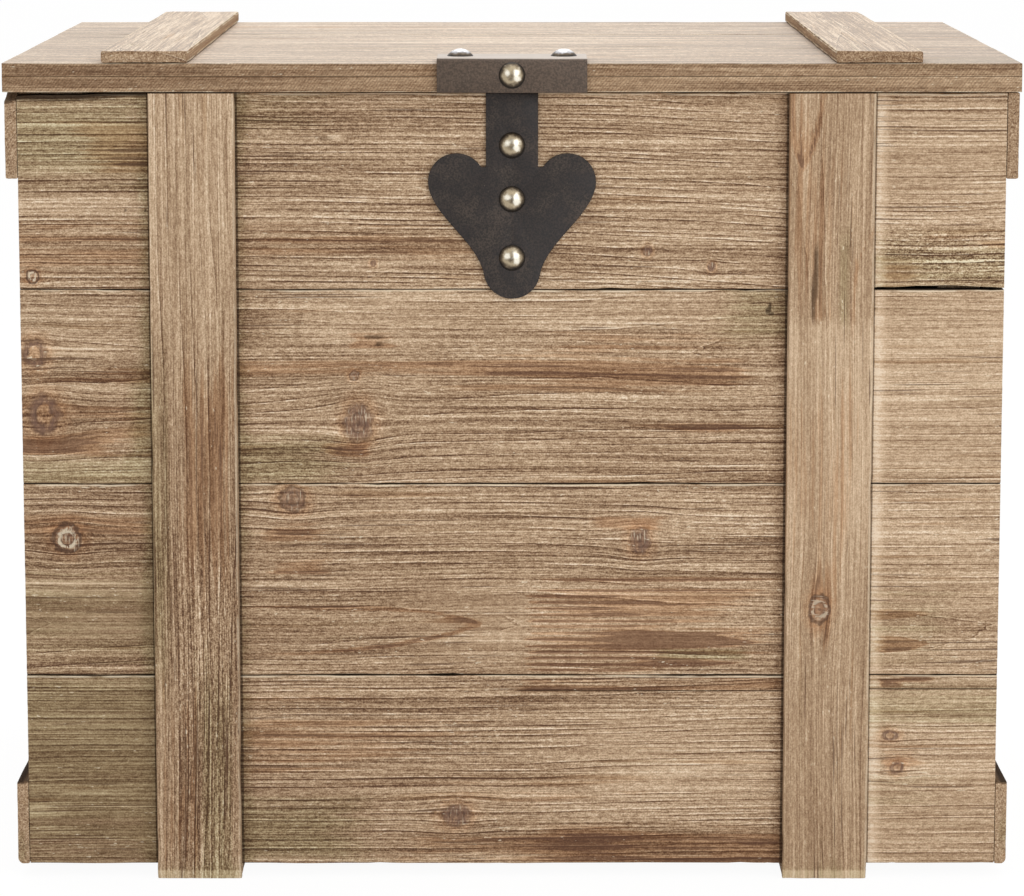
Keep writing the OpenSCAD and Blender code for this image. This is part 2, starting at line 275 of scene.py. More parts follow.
def knot_field(figure, x, y):
    """Radii from each point to the nearest knot, y bent round the knots, and the knot's kind."""
    nearest = np.full(x.shape, 9.0)
    bent = y.copy()
    kinds = np.zeros(x.shape)
    for number, (at_x, at_y, half_x, half_y, kind) in enumerate(figure.knots):
        angle = np.arctan2((y - at_y) / half_y, (x - at_x) / half_x)
        round_it = (0.8 * np.cos(angle), 0.8 * np.sin(angle))
        uneven = 1.15 + 0.12 * ripple(figure.seed + number, *round_it)
        away = np.hypot((x - at_x) / half_x, (y - at_y) / half_y) / uneven
        kinds = np.where(away < nearest, kind, kinds)
        nearest = np.minimum(nearest, away)
        reach = np.exp(-((x - at_x) / (2.8 * half_x)) ** 2 - ((y - at_y) / (1.9 * half_y)) ** 2)
        bent = bent - 0.45 * reach * (y - at_y)
    return nearest, bent, kinds


def ring_count(figure, x, y, z):
    """Growth rings between the heart and a point, counted along a slightly wavy radius."""
    seed = figure.seed
    drift = 3.2 * ripple(seed + 11, x / 190) + 0.7 * ripple(seed + 12, x / 60, y / 30)
    sink = 3.0 * ripple(seed + 13, x / 230) + 0.3 * ripple(seed + 14, x / 40, y / 14)
    across = y - figure.pith[0] - figure.lean[0] * x + drift
    down = figure.pith[1] + z + figure.lean[1] * x + sink
    radius = np.hypot(across, down) / figure.ring
    return radius + 0.8 * ripple(seed + 15, radius * 0.42)


def ring_spread(figure, x, y, z):
    """Width in mm that one growth ring takes up on the face."""
    change = ring_count(figure, x, y + 0.5, z) - ring_count(figure, x, y - 0.5, z)
    return 1 / np.maximum(np.abs(change), 1 / 40)


def late_wood(rings):
    """0 in the soft early wood, 1 in the hard late wood of each ring."""
    share = rings - np.floor(rings)
    return fade(share, 0.3, 0.85) * (1 - fade(share, 0.95, 1.0))


# Board meshes

def mesh_lines(half, step, rim, extra):
    """Coordinates from edge to edge: close together at the rims, and even between them."""
    count = max(1, round(2 * (half - rim) / step))
    inner = np.linspace(-half + rim, half - rim, count + 1)
    edge = np.array([0.0, 0.3 * rim])
    lines = np.concatenate([-half + edge, inner, half - edge, np.asarray(extra, float)])
    lines = np.unique(np.round(lines[np.abs(lines) <= half + 1e-9], 5))
    return lines[np.concatenate([[True], np.diff(lines) > 0.02])]


def quads_between(number, axis, solid):
    """Faces where the cells change from solid to empty along one axis, facing the empty side."""
    pad = [(1, 1) if a == axis else (0, 0) for a in range(3)]
    padded = np.moveaxis(np.pad(solid, pad), axis, 0).astype(int)
    step = np.diff(padded, axis=0)
    lattice = np.moveaxis(number, axis, 0)
    found = []
    for sign in (1, -1):
        line, a, b = np.nonzero(step == sign)
        ring = [lattice[line, a, b], lattice[line, a + 1, b],
                lattice[line, a + 1, b + 1], lattice[line, a, b + 1]]
        quad = np.stack(ring, -1)
        outward = (sign == -1) != (axis == 1)
        found.append(quad if outward else quad[:, ::-1])
    return np.concatenate(found)


def skin(xs, ys, zs, cuts):
    """Points and faces of a box drawn on three sets of lines, less the boxes cut from it."""
    middles = [(lines[1:] + lines[:-1]) / 2 for lines in (xs, ys, zs)]
    cells = np.meshgrid(*middles, indexing="ij")
    solid = np.ones(cells[0].shape, bool)
    for low, high in cuts:
        inside = [(cell > low[a]) & (cell < high[a]) for a, cell in enumerate(cells)]
        solid &= ~(inside[0] & inside[1] & inside[2])
    shape = (len(xs), len(ys), len(zs))
    number = np.arange(np.prod(shape)).reshape(shape)
    quads = np.concatenate([quads_between(number, axis, solid) for axis in range(3)])
    used, quads = np.unique(quads, return_inverse=True)
    grid = np.stack(np.meshgrid(xs, ys, zs, indexing="ij"), -1).reshape(-1, 3)
    return grid[used], quads.reshape(-1, 4)


def store(mesh, name, *values):
    """Keeps three numbers for each vertex under a name that the materials read."""
    layer = mesh.attributes.new(name, "FLOAT_VECTOR", "POINT")
    layer.data.foreach_set("vector", np.stack(values, -1).astype(np.float32).ravel())


def make_mesh(name, points, faces):
    """A mesh in metres from points in mm, shaded smooth up to its sharp edges."""
    mesh = bpy.data.meshes.new(name)
    mesh.vertices.add(len(points))
    mesh.vertices.foreach_set("co", (np.asarray(points) * MM).astype(np.float32).ravel())
    mesh.loops.add(faces.size)
    mesh.loops.foreach_set("vertex_index", faces.astype(np.int32).ravel())
    mesh.polygons.add(len(faces))
    mesh.polygons.foreach_set("loop_start", np.arange(0, faces.size, 4, dtype=np.int32))
    mesh.update(calc_edges=True)
    mesh.validate()
    mesh.shade_smooth()
    mesh.set_sharp_from_angle(angle=math.radians(50))
    return mesh


def add_piece(node, suffix, mesh, look, place=None):
    """Gives a piece its finish and lets it ride in the place of its node."""
    piece = bpy.data.objects.new(node + suffix, mesh)
    bpy.context.scene.collection.objects.link(piece)
    mesh.materials.append(finish(look))
    piece.matrix_world = place or Matrix()
    body = frame["nodes"][node]["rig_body"]
    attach(piece, body)
    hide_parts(node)
    return piece


def turn_for(grain, out):
    """Rotation that lays local X along the grain and local Z out of the face."""
    along, away = Vector(grain), Vector(out)
    return Matrix((along, away.cross(along), away)).transposed()


def round_edges(points, half, arris, end_arris):
    """Moves lattice points on to a box with rounded edges, and gives their outward directions."""
    radius = np.stack([np.full(len(points), end_arris), arris, arris], -1)
    core = np.clip(points, -half + radius, half - radius)
    away = points - core
    depth = np.minimum(radius.max(-1), np.abs(away).max(-1))
    reach = np.linalg.norm(away, axis=-1)
    out = away / np.maximum(reach, 1e-9)[:, None]
    return core + out * depth[:, None], out


def board_relief(figure, x, y, rings, knot, groove, step):
    """How far each point of a face is worn below it. Rings too fine for the mesh are left out."""
    seed = figure.seed
    drawn = np.clip(figure.ring / step - 2, 0, 1)
    patchy = 0.65 + 0.35 * ripple(seed + 21, x / 60, y / 9)
    brushed = groove * drawn * (1 - late_wood(rings)) * patchy
    streak = 0.09 * (1 + ripple(seed + 22, x / 45, y / max(2.6, 2.2 * step)))
    hollow = 0.12 * (1 + ripple(seed + 23, x / 120, y / 35))
    round_knot = 0.15 * np.exp(-((knot - 1.05) / 0.2) ** 2)
    shrunk = 0.2 * fade(-knot, -0.9, -0.3)
    return brushed + streak + hollow + round_knot + shrunk


def push_edges(figure, x, y, half_y, chip, rough):
    """Draws the long edges in where they are chipped or run out of true."""
    moved = y.copy()
    for side in (-1, 1):
        near = np.clip(1 - (half_y - side * y) / 7.0, 0, 1)
        torn = fade(ripple(figure.seed + 31 + side, x / 19), 0.55, 1.0)
        torn += 0.5 * fade(ripple(figure.seed + 34 + side, x / 6.5), 0.6, 1.0)
        depth = 0.3 * chip * torn + 0.12 * (1 + ripple(figure.seed + 37 + side, x / 80))
        depth = depth * rough
        for at, edge, half_length, deep in figure.chips:
            if edge == side:
                ragged = 1 + 0.2 * ripple(figure.seed + 40, x / 7.0)
                depth = depth + deep * ragged * fade(-np.abs(x - at) / half_length, -1.0, -0.2)
        moved -= side * near * depth
    return moved


def in_mm(name):
    """One of the sizes of the finish, in mm."""
    return getattr(bpy.context.scene.trunk_sizes, name) / MM


def board(node, figure, grain, out, slot, look=None, cuts=(), step=None, along=None,
          arris=None, joints=(), rounded=0.0, rough=1.0, tight=(), shaded=None):
    """One board, batten, rail or post in the place of its node.

    cuts: low and high corners of the boxes cut from it
    step, along: spacing of mesh lines across and along it in mm
    joints: long edges that meet the next board, as signs of local Y
    rounded: radius in mm of the show face's edge on the low side of local Y
    rough: how much the long edges are chipped
    tight: long edges left sharp where another piece lies flush, as signs of local Y and Z
    shaded: sign of local Y of the long edge turned from the light, which gets no pale wear, or
    else the lower edge; the pale wear on the other edge is partly a painted highlight
    """
    step = step or in_mm("face_step")
    arris = arris or in_mm("arris")
    end_arris = in_mm("end_arris")
    low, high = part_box(node)
    turn = turn_for(grain, out)
    middle = (low + high) / 2
    half = np.abs(np.array(turn.transposed() @ (high - low))) / MM / 2
    cuts = [np.sort([turn.transposed() @ (Vector(corner) - middle) for corner in cut], 0) / MM
            for cut in cuts]
    cut_lines = [[corner[axis] for cut in cuts for corner in cut] for axis in range(3)]
    knot_lines = [at_x + half_x * share for at_x, _, half_x, *_ in figure.knots
                  for share in np.linspace(-1.8, 1.8, 19)]
    tip_lines = [flame[0] - math.copysign(1, flame[6]) * past for flame in figure.flames
                 for past in (-3, -1, 0.1, 1, 2, 3.5, 5, 8, 11, 15)]
    bend = np.arange(0, rounded, 0.5)
    points, faces = skin(
        mesh_lines(half[0], along or in_mm("grain_step"), end_arris,
                   [*cut_lines[0], *knot_lines, *tip_lines, *figure.marks]),
        mesh_lines(half[1], step, 1.5 * arris,
                   [*cut_lines[1], *(bend - half[1]), *figure.levels]),
        mesh_lines(half[2], 3.0, 1.5 * arris, [*cut_lines[2], *(half[2] - bend)]), cuts)
    x, y, z = points.T
    knot, bent, kinds = knot_field(figure, x, y)
    bent = bent + 1.3 * ripple(figure.seed + 61, x / 120, y / 80)
    rings = ring_count(figure, x, bent, z)
    worn = arris * (1 + 0.45 * ripple(figure.seed + 51, x / 30, np.sign(y), np.sign(z)))
    worn = np.where((y < 0) & (z > 0), np.maximum(worn, rounded), worn)
    flush = np.isin(3 * np.sign(y) + np.sign(z), [3 * side + level for side, level in tight])
    on_skin = (np.abs(points) > half - 1e-3).any(-1)
    shaped, away = round_edges(points, half, np.where(flush, 0.06, worn), end_arris)
    shaped = np.where(on_skin[:, None], shaped, points)
    ends = fade(np.abs(x), half[0] - 0.3 * end_arris, half[0])
    drop = np.clip((half[2] - np.abs(shaped[:, 2])) / arris, 0, 3) * (1 - ends)
    drop = np.where(np.isin(np.sign(y), joints) | (drop < 0.6), drop, 0)
    # Only the long edge turned to the light keeps its pale wear, partly a painted highlight
    drop = np.where(y * (shaded or -round(turn.col[1].z)) > 0, -drop, drop)
    drop = np.where(flush, 0, drop)
    relief = board_relief(figure, x, y, rings, knot, in_mm("groove"), step)
    relief = relief * np.where(on_skin, np.abs(away[:, 2]) ** 2, 0)
    shaped = shaped - away * relief[:, None]
    shaped[:, 1] = push_edges(figure, x, shaped[:, 1], half[1], in_mm("chip"), rough)
    mesh = make_mesh(node + "_wood", shaped, faces)
    front = np.where(z > -half[2] + 1.6 * arris, 1.0, 0.35)
    # tone and dark hold painted light and shade as well as stains
    warm, green, tone, dark = [stain_field(stains, x, y) * front for stains in
                               (figure.warm, figure.green, figure.tone, figure.dark)]
    warm = warm + flame_field(figure.flames, x, y) * front
    sawn = fade(np.abs(y), half[1] - 0.5 * arris, half[1])
    store(mesh, "grain", x * MM + 3.0 * figure.seed, bent * MM, z * MM)
    store(mesh, "figure", rings, ring_spread(figure, x, bent, z), knot)
    store(mesh, "stain", warm, green, tone + figure.base)
    store(mesh, "wear", drop, dark, stain_field(figure.quiet, x, y))
    store(mesh, "cut", ends, sawn, kinds)
    return add_piece(node, "_timber", mesh, look or slot,
                     Matrix.Translation(middle) @ turn.to_4x4())


# Short hand for node trees

class Value:
    """What a socket gives, for sums written with +, - and *."""

    def __init__(self, wire, socket):
        self.wire = wire
        self.socket = socket

    def __add__(self, other):
        return self.wire.math("ADD", self, other)

    def __sub__(self, other):
        return self.wire.math("SUBTRACT", self, other)

    def __rsub__(self, other):
        return self.wire.math("SUBTRACT", other, self)

    def __mul__(self, other):
        return self.wire.math("MULTIPLY", self, other)

    def fade(self, low, high, start=0, stop=1):
        """From start below low to stop above high, smooth between."""
        return self.wire.put("ShaderNodeMapRange", (self, low, high, start, stop),
                             interpolation_type="SMOOTHSTEP")


class Wiring:
    """Adds nodes to one tree and joins them."""

    def __init__(self, tree):
        self.tree = tree

    def feed(self, socket, value):
        """Links a socket to a value's, or sets its number or colour."""
        if isinstance(value, Value):
            self.tree.links.new(value.socket, socket)
        elif socket.type == "RGBA":
            socket.default_value = (*value, 1)
        else:
            socket.default_value = value

    def node(self, kind, inputs=(), **settings):
        """All that a new node gives, with its inputs fed in order or by name."""
        made = self.tree.nodes.new(kind)
        for key, value in settings.items():
            setattr(made, key, value)
        for key, value in inputs.items() if isinstance(inputs, dict) else enumerate(inputs):
            self.feed(made.inputs[key], value)
        return {socket.name: Value(self, socket) for socket in made.outputs if socket.enabled}

    def put(self, kind, inputs=(), **settings):
        """The first thing that a new node gives."""
        return next(iter(self.node(kind, inputs, **settings).values()))

    def math(self, operation, *values):
        """One sum on numbers."""
        return self.put("ShaderNodeMath", values, operation=operation)

    def total(self, *terms):
        """The sum of several numbers, each given with its weight."""
        running = 0
        for value, weight in terms:
            running = self.math("MULTIPLY_ADD", value, weight, running)
        return running

    def joined(self, *values):
        """A vector from three numbers."""
        return self.put("ShaderNodeCombineXYZ", values)

    def parts(self, vector):
        """The three numbers of a vector."""
        return list(self.node("ShaderNodeSeparateXYZ", [vector]).values())

    def kept(self, name):
        """What a mesh keeps under a name, as a vector."""
        return self.node("ShaderNodeAttribute", attribute_name=name)["Vector"]

    def mix(self, share, base, over, blend="MIX"):
        """Two colours mixed by a share."""
        return self.put("ShaderNodeMix", {0: share, 6: base, 7: over}, data_type="RGBA",
                        blend_type=blend)

    def shaded(self, tone, grey):
        """A colour multiplied by a grey."""
        return self.mix(1, tone, self.joined(grey, grey, grey), "MULTIPLY")

    def ramp(self, value, *stops):
        """A colour picked along a row of (place, colour)."""
        made = self.tree.nodes.new("ShaderNodeValToRGB")
        row = made.color_ramp.elements
        row[0].position, row[1].position = stops[0][0], stops[-1][0]
        for place, _ in stops[1:-1]:
            row.new(place)
        for stop, (_, hue) in zip(row, stops):
            stop.color = (*hue, 1)
        self.feed(made.inputs[0], value)
        return Value(self, made.outputs[0])

    def noise(self, vector, detail=2, roughness=0.55, scale=1):
        """Noise from 0 to 1."""
        return self.put("ShaderNodeTexNoise", {"Vector": vector, "Scale": scale,
                                               "Detail": detail, "Roughness": roughness})

    def group(self, name, vector, **given):
        """What a node group gives in this tree: a value, or several in a list."""
        results = list(self.node("ShaderNodeGroup", {"Vector": vector, **given},
                                 node_tree=bpy.data.node_groups[name]).values())
        return results if len(results) > 1 else results[0]

    def fibre(self, vector, along, across, detail=2):
        """Noise from 0 to 1, drawn out along the grain."""
        return self.group("Fibre", vector, Along=along, Across=across, Detail=detail)

    def pitted(self, scale):
        """The place on a piece of metal, and its fine pits and broad clouds."""
        place = self.node("ShaderNodeTexCoord")["Object"]
        return place, *self.group("Pitting", place, Scale=scale)

    def surface(self, looks, height=None, strength=0, depth=0):
        """Feeds the material's shader, with a bump whose depth is given in mm."""
        shader = self.tree.nodes["Principled BSDF"].inputs
        for name, value in looks.items():
            self.feed(shader[name], value)
        if height:
            bump = {"Strength": strength, "Distance": depth * MM, "Height": height}
            self.feed(shader["Normal"], self.put("ShaderNodeBump", bump))


def new_group(name, *outputs, **inputs):
    """An empty node group: its wiring, the place and numbers that come in, and how to give."""
    tree = bpy.data.node_groups.new(name, "ShaderNodeTree")
    new_socket = tree.interface.new_socket
    new_socket("Vector", in_out="INPUT", socket_type="NodeSocketVector")
    for socket, default in inputs.items():
        made = new_socket(socket, in_out="INPUT", socket_type="NodeSocketFloat")
        made.default_value = default
    for socket in outputs:
        new_socket(socket, in_out="OUTPUT", socket_type="NodeSocketFloat")
    source = tree.nodes.new("NodeGroupInput")
    sink = tree.nodes.new("NodeGroupOutput")
    wire = Wiring(tree)

    def give(*values):
        for socket, value in zip(sink.inputs, values):
            wire.feed(socket, value)

    return wire, [Value(wire, socket) for socket in source.outputs[:-1]], give


def fibre_group():
    """Noise drawn out along the grain."""
    wire, (place, along, across, detail), give = new_group(
        "Fibre", "Value", Along=16, Across=900, Detail=2)
    stretched = wire.put("ShaderNodeVectorMath", (place, wire.joined(along, across, across)),
                         operation="MULTIPLY")
    give(wire.noise(stretched, detail))


def rings_group():
    """Late wood, dark line and pale start of each growth ring, uneven from ring to ring."""
    wire, (place, rings, spread, waver), give = new_group(
        "Growth Rings", "Late", "Line", "Pale", "Height", Rings=0, Spread=4, Waver=0.2)
    count = (wire.fibre(place, 40, 260) - 0.5) * waver + rings
    share = wire.math("FRACT", count)
    along = wire.parts(place)[0]
    strength = wire.noise(wire.joined(along * 9, count * 0.7, 0)).fade(0.36, 0.62, 0.15)
    past = share * spread
    before = spread - past
    late = share.fade(0.3, 0.9) * share.fade(1, 0.96)
    line = before.fade(1.1, 0.35) * before.fade(0, 0.12)
    give(late * strength, line * strength, past.fade(0.9, 0.15) * strength, late)


def knot_group():
    """A knot's disc, its dark rim, its pale ring or scratches and the warm wood round it."""
    wire, (place, distance, ringed), give = new_group(
        "Knot", "Disc", "Rim", "Pale", "Halo", Distance=9, Ringed=0)
    away = (wire.fibre(place, 180, 350, 3) - 0.5) * 0.8 + distance
    patchy = wire.fibre(place, 700, 260, 3)
    closed = ringed.fade(-0.8, -0.2)
    solid = wire.math("MAXIMUM", closed, away.fade(0.4, 0.62))
    disc = away.fade(1.2, 0.75) * solid
    dark = disc * ringed.fade(0, 1, 1, 0.45) * patchy.fade(0.3, 0.6, 0.5)
    turns = wire.math("SINE", distance * 15).fade(0.1, 0.9) * away.fade(1.1, 0.8, 0, 0.6)
    turns = turns * patchy.fade(0.36, 0.52, 0.2) * solid
    outline = away.fade(0.8, 0.96) * away.fade(1.24, 1.06) * ringed.fade(0, 1, 0.3)
    scratch = wire.fibre(place, 1200, 180, 1).fade(0.58, 0.72, 0, 0.7) * disc * closed
    inner = away.fade(0.42, 0.56) * away.fade(0.84, 0.72)
    inner = inner * patchy.fade(0.42, 0.5) * ringed.fade(0.5, 0.85)
    give(dark, wire.math("MAXIMUM", turns, outline), wire.math("MAXIMUM", inner, scratch),
         (patchy * -1.2 + away).fade(1.6, 0.2))


def stain_group():
    """A stain that runs out along the fibres in points."""
    wire, (place, field, ragged, soft), give = new_group(
        "Ragged Stain", "Mask", Field=0, Ragged=0.9, Soft=0.12)
    thin = wire.fibre(place, 30, 900)
    finger = wire.fibre(place, 5, 300, 1)
    broad = wire.fibre(place, 9, 110)
    run = wire.total((thin, 0.7), (finger, 1.2), (broad, 0.8), (1, -1.35))
    give((run * ragged + field).fade(0.5 - soft, soft + 0.5))


def edge_group():
    """Pale wear on an arris, partly a painted highlight, and dirt with painted shade in the joint
    below it. A negative drop has no pale wear.
    """
    wire, (place, drop), give = new_group("Edge Wear And Light", "Pale", "Soot And Shade", Drop=0)
    patchy = wire.fibre(place, 45, 200, 3).fade(0.36, 0.56)
    give(drop.fade(0, 0.1) * drop.fade(0.5, 0.3) * patchy,
         wire.math("ABSOLUTE", drop).fade(0.34, 0.7))


def flecks_group():
    """Sparse short marks along the fibres."""
    wire, (place, along, across, amount), give = new_group(
        "Flecks", "Mask", Along=120, Across=900, Amount=0.3)
    level = 0.82 - amount * wire.fibre(place, 12, 60).fade(0.35, 0.7)
    give((wire.fibre(place, along, across, 1) - level).fade(-0.02, 0.05))


def saw_group():
    """Slanting marks that a saw leaves on the edge of a board."""
    wire, (place, pitch), give = new_group("Saw Marks", "Marks", Pitch=0.0019)
    along, _, deep = wire.parts(place)
    slant = along + deep * -0.8
    turns = wire.fibre(place, 70, 90) * 1.6 + wire.math("DIVIDE", slant, pitch)
    wave = wire.math("SINE", turns * (2 * math.pi)).fade(-1, 1)
    give(wave * wire.fibre(place, 160, 220, 3).fade(0.3, 0.7, 0.35, 1.65))


def pitting_group():
    """Fine pits and broad clouds on worked metal."""
    wire, (place, scale), give = new_group("Pitting", "Pits", "Clouds", Scale=900)
    give(wire.noise(place, 3, 0.65, scale), wire.noise(place, 3, scale=70))


# Materials

def timber(wire, hues, shift=0, lines=1, contrast=1, bleach_and_sheen=0, sawn=0, edge_tone=0,
           streaks=0.25, cracked=0.2, pale_edge_and_highlight=0.65):
    """Brushed and weathered softwood, with painted light and shade: highlights on edges turned to
    the light, shade in joints and under the lid, sheen on faces turned up.
    """
    grain = wire.kept("grain")
    rings, spread, knot_at = wire.parts(wire.kept("figure"))
    warm_at, green_at, tone_at = wire.parts(wire.kept("stain"))
    drop, dark_and_shade_at, quiet_at = wire.parts(wire.kept("wear"))
    ends, edge_at, ringed = wire.parts(wire.kept("cut"))
    faced = 1 - wire.math("MAXIMUM", edge_at, ends)
    below = faced * wire.parts(grain)[2].fade(MM, -MM)

    fine, medium, short, broad, cloud, stipple = [
        wire.fibre(grain, *form) - 0.5
        for form in ((8, 1400, 0), (18, 760, 1), (260, 950, 1),
                     (3, 130, 1), (7, 36, 2), (1000, 1200, 1))]
    late, line, pale, ridge = wire.group("Growth Rings", grain, Rings=rings, Spread=spread)
    disc, rim, heart, halo = wire.group("Knot", grain, Distance=knot_at, Ringed=ringed)
    rubbed_and_lit, sooty_and_shaded = wire.group("Edge Wear And Light", grain, Drop=drop)
    warm, deep, green, dark = [
        wire.group("Ragged Stain", grain, Field=field, Ragged=ragged, Soft=soft)
        for field, ragged, soft in ((cloud * 0.9 + warm_at, 1.3, 0.25),
                                    (warm_at - 0.5, 2, 0.15),
                                    (green_at, 0.8, 0.45), (dark_and_shade_at, 0.7, 0.4))]
    cracks, flecks = [
        wire.group("Flecks", grain, Along=along, Across=across, Amount=amount)
        for along, across, amount in ((12, 700, cracked), (260, 900, 0.12))]

    calm = tone_at.fade(0, 0.25, contrast, 0.6 * contrast) * warm.fade(0, 1, 1, 0.75)
    calm = calm * quiet_at.fade(0, 1, 1, 0.45) * quiet_at.fade(0, -1, 1, 1.7)
    flow = wire.total((broad, streaks), (cloud, 0.3)) * faced.fade(1, 0, 1, 0.3)
    if sawn:
        calm = calm * edge_at.fade(0, 1, 1, 0.3)
    if bleach_and_sheen:
        calm = calm * below.fade(0, 1, 1, 0.42)
        flow = flow * below.fade(0, 1, 1, 0.3)
    brushed = wire.total((fine, 0.7), (medium, 0.6), (short, 0.75), (stipple, 0.9))
    brushed = brushed * ends.fade(0, 1, 1, 0.8 / contrast)
    drawn = wire.total((line, -0.34 * lines), (late, -0.08 * lines), (pale, 0.22 * lines))
    tone = wire.total(
        ((brushed + drawn) * calm, 1), (flow, 1), (tone_at, 1), (warm, -0.05),
        (warm * late, -0.12), (deep, -0.12), (dark, -0.1), (green, -0.06),
        (edge_at, -edge_tone), (ends, -0.5 * edge_tone), (1, 0.5 + shift))
    hue = wire.ramp(tone, (0, hues.darkest), (0.2, hues.dark), (0.5, hues.middle),
                    (0.8, hues.light), (1, hues.lightest))
    # The face turned up is paler: partly bleached wood, partly a painted sheen
    if bleach_and_sheen:
        hue = wire.mix((faced - below) * bleach_and_sheen, hue, hues.bleached_and_sheen)
    for share, over, *blend in (
            (warm, hues.warm, "MULTIPLY"), (deep * 0.5, hues.deep),
            (green, hues.green, "MULTIPLY"), (halo, hues.warm, "MULTIPLY"),
            (disc * 0.85, hues.knot), (rim * 0.75, hues.knot_rim), (heart * 0.7, hues.wash_and_highlight),
            (flecks * 0.7, hues.wash_and_highlight), (cracks * 0.7, hues.darkest), (ends * 0.15, hues.dark),
            # Dark in the joints and in the strongest dark stains: dirt and painted shade
            (rubbed_and_lit * pale_edge_and_highlight, hues.wash_and_highlight), (sooty_and_shaded * 0.85, hues.soot_and_shade),
            (dark * dark_and_shade_at.fade(1.2, 2.4, 0.6, 0.9), hues.soot_and_shade)):
        hue = wire.mix(share, hue, over, *blend)

    height = wire.total((ridge, 0.35), (fine, 0.8), (medium, 0.8), (short, 0.5), (rim, -0.6),
                        (cracks, -1))
    if sawn:
        marks = (wire.group("Saw Marks", grain) - 0.5) * edge_at
        hue = wire.shaded(hue, marks.fade(-0.5, 0.5, 1 - sawn, 1 + sawn))
        height = marks * 0.6 + height
    wire.surface({"Base Color": hue, "Roughness": medium.fade(-0.2, 0.2, 0.75, 0.95),
                  "Specular IOR Level": 0.1}, height, strength=0.6, depth=0.3)


def blackened_iron(wire, hues, ground, grainy=0.55, painted_top_sheen=0):
    """Black iron with a fine grain, rubbed brown in clouds, with a painted sheen where it faces
    up.
    """
    place, pits, clouds = wire.pitted(950)
    tone = wire.mix(clouds.fade(0.4, 0.75, 0, 0.3), getattr(hues, ground), hues.iron_edge)
    tone = wire.shaded(tone, pits.fade(0.35, 0.65, 1 - grainy, 1 + grainy))
    specks = wire.noise(place, 1, scale=620).fade(0.72, 0.8)
    tone = wire.mix(specks * 0.45, tone, hues.iron_edge)
    # Painted sheen: the iron paler where it faces up
    facing = wire.parts(wire.node("ShaderNodeTexCoord")["Normal"])[2]
    tone = wire.mix(facing.fade(0.7, 0.95, 0, painted_top_sheen), tone, hues.bleached_and_sheen)
    wire.surface({"Base Color": tone, "Metallic": 0.2,
                  "Roughness": clouds.fade(0.3, 0.7, 0.5, 0.66)}, pits, strength=0.6, depth=0.15)


def aged_brass(wire, hues):
    """Aged brass in painted light and shade: bright towards the top, dark at the rim, partly
    patina and partly painted contact shadow, darker on the lower side, with painted highlights on
    three spots.
    """
    place, pits, _ = wire.pitted(700)
    crown_and_shade, worn, painted_highlight = wire.parts(wire.kept("crown_and_shade"))
    patches = wire.noise(place, 3, scale=330) - 0.5
    rubbed_and_lit = patches * 0.7 + crown_and_shade
    # Painted highlights: three bright spots on each nail
    painted_gleam = (patches * 1.3 + painted_highlight).fade(0.15, 0.85) * rubbed_and_lit.fade(0.3, 0.5)
    aged = wire.ramp(rubbed_and_lit, (0.16, hues.patina_and_shadow), (0.4, hues.dark_brass_and_shade), (0.66, hues.brass),
                     (0.78, hues.brass), (1.05, hues.dark_brass_and_shade))
    # The nails that face up (worn) get a painted metal sheen and a painted highlight on the head
    bare_highlight = wire.ramp(rubbed_and_lit, (0.1, hues.patina_and_shadow), (0.35, hues.dark_brass_and_shade), (0.55, hues.silver_and_sheen),
                     (0.85, hues.bare_highlight))
    tone = wire.mix(worn, wire.mix(painted_gleam, aged, hues.brass_highlight), bare_highlight)
    wire.surface({"Base Color": tone, "Metallic": 0.45,
                  "Roughness": painted_gleam.fade(0, 1, 0.42, 0.25)}, pits, strength=0.4, depth=0.12)


def hinge_steel(wire, hues):
    """Dull zinc-coated steel."""
    _, pits, clouds = wire.pitted(600)
    wire.surface({"Base Color": wire.shaded(hues.steel, clouds.fade(0.3, 0.7, 0.7, 1.1)),
                  "Metallic": 0.85, "Roughness": pits.fade(0.3, 0.7, 0.35, 0.55)})


FINISHES = {
    "wall_pine": (timber, {}),
    "batten_pine": (timber, {"shift": 0.02, "lines": 0.8, "contrast": 0.85, "sawn": 0.1,
                             "pale_edge_and_highlight": 0.3}),
    "pale_batten": (timber, {"shift": 0.06, "contrast": 2.1, "bleach_and_sheen": 0.5, "sawn": 0.12,
                             "edge_tone": 0.16, "streaks": 0.5, "cracked": 0.1}),
    "lid_pine": (timber, {"shift": 0.04, "contrast": 1.9, "bleach_and_sheen": 0.56, "sawn": 0.15,
                          "edge_tone": 0.155, "streaks": 1.5, "cracked": 0.06}),
    "inner_pine": (timber, {"shift": 0.12, "lines": 0.8, "contrast": 0.7}),
    "blackened_iron": (blackened_iron, {"ground": "iron"}),
    "bent_iron": (blackened_iron, {"ground": "bent_iron", "grainy": 0.34, "painted_top_sheen": 0.7}),
    "aged_brass": (aged_brass, {}),
    "hinge_steel": (hinge_steel, {}),
}
MADE = {}


def new_material(name):
    """An empty material and its wiring."""
    material = bpy.data.materials.new(name)
    material.use_nodes = True
    return material, Wiring(material.node_tree)


def finish(name):
    """A finish by its name, made when it is first asked for."""
    if name not in MADE:
        MADE[name], wire = new_material(name.replace("_", " ").capitalize())
        make, settings = FINISHES[name]
        make(wire, bpy.context.scene.trunk_colours, **settings)
    return MADE[name]


# Boards of the front, from the bottom row up, as they show

END = 290
WHOLE = 80
BATTEN_INNER = 156.5
BATTEN_OUTER = 205.5
BATTEN_EDGES = [side * edge for side in (-1, 1) for edge in (BATTEN_INNER, BATTEN_OUTER)]


def left(y, half, strength, soft_start=10, soft_stop=10):
    """A stain over the whole column to the left of the left batten."""
    return -END, -205, y, half, strength, soft_start, soft_stop


def right(y, half, strength, soft_start=10, soft_stop=10):
    """A stain over the whole column to the right of the right batten."""
    return 205, END, y, half, strength, soft_start, soft_stop


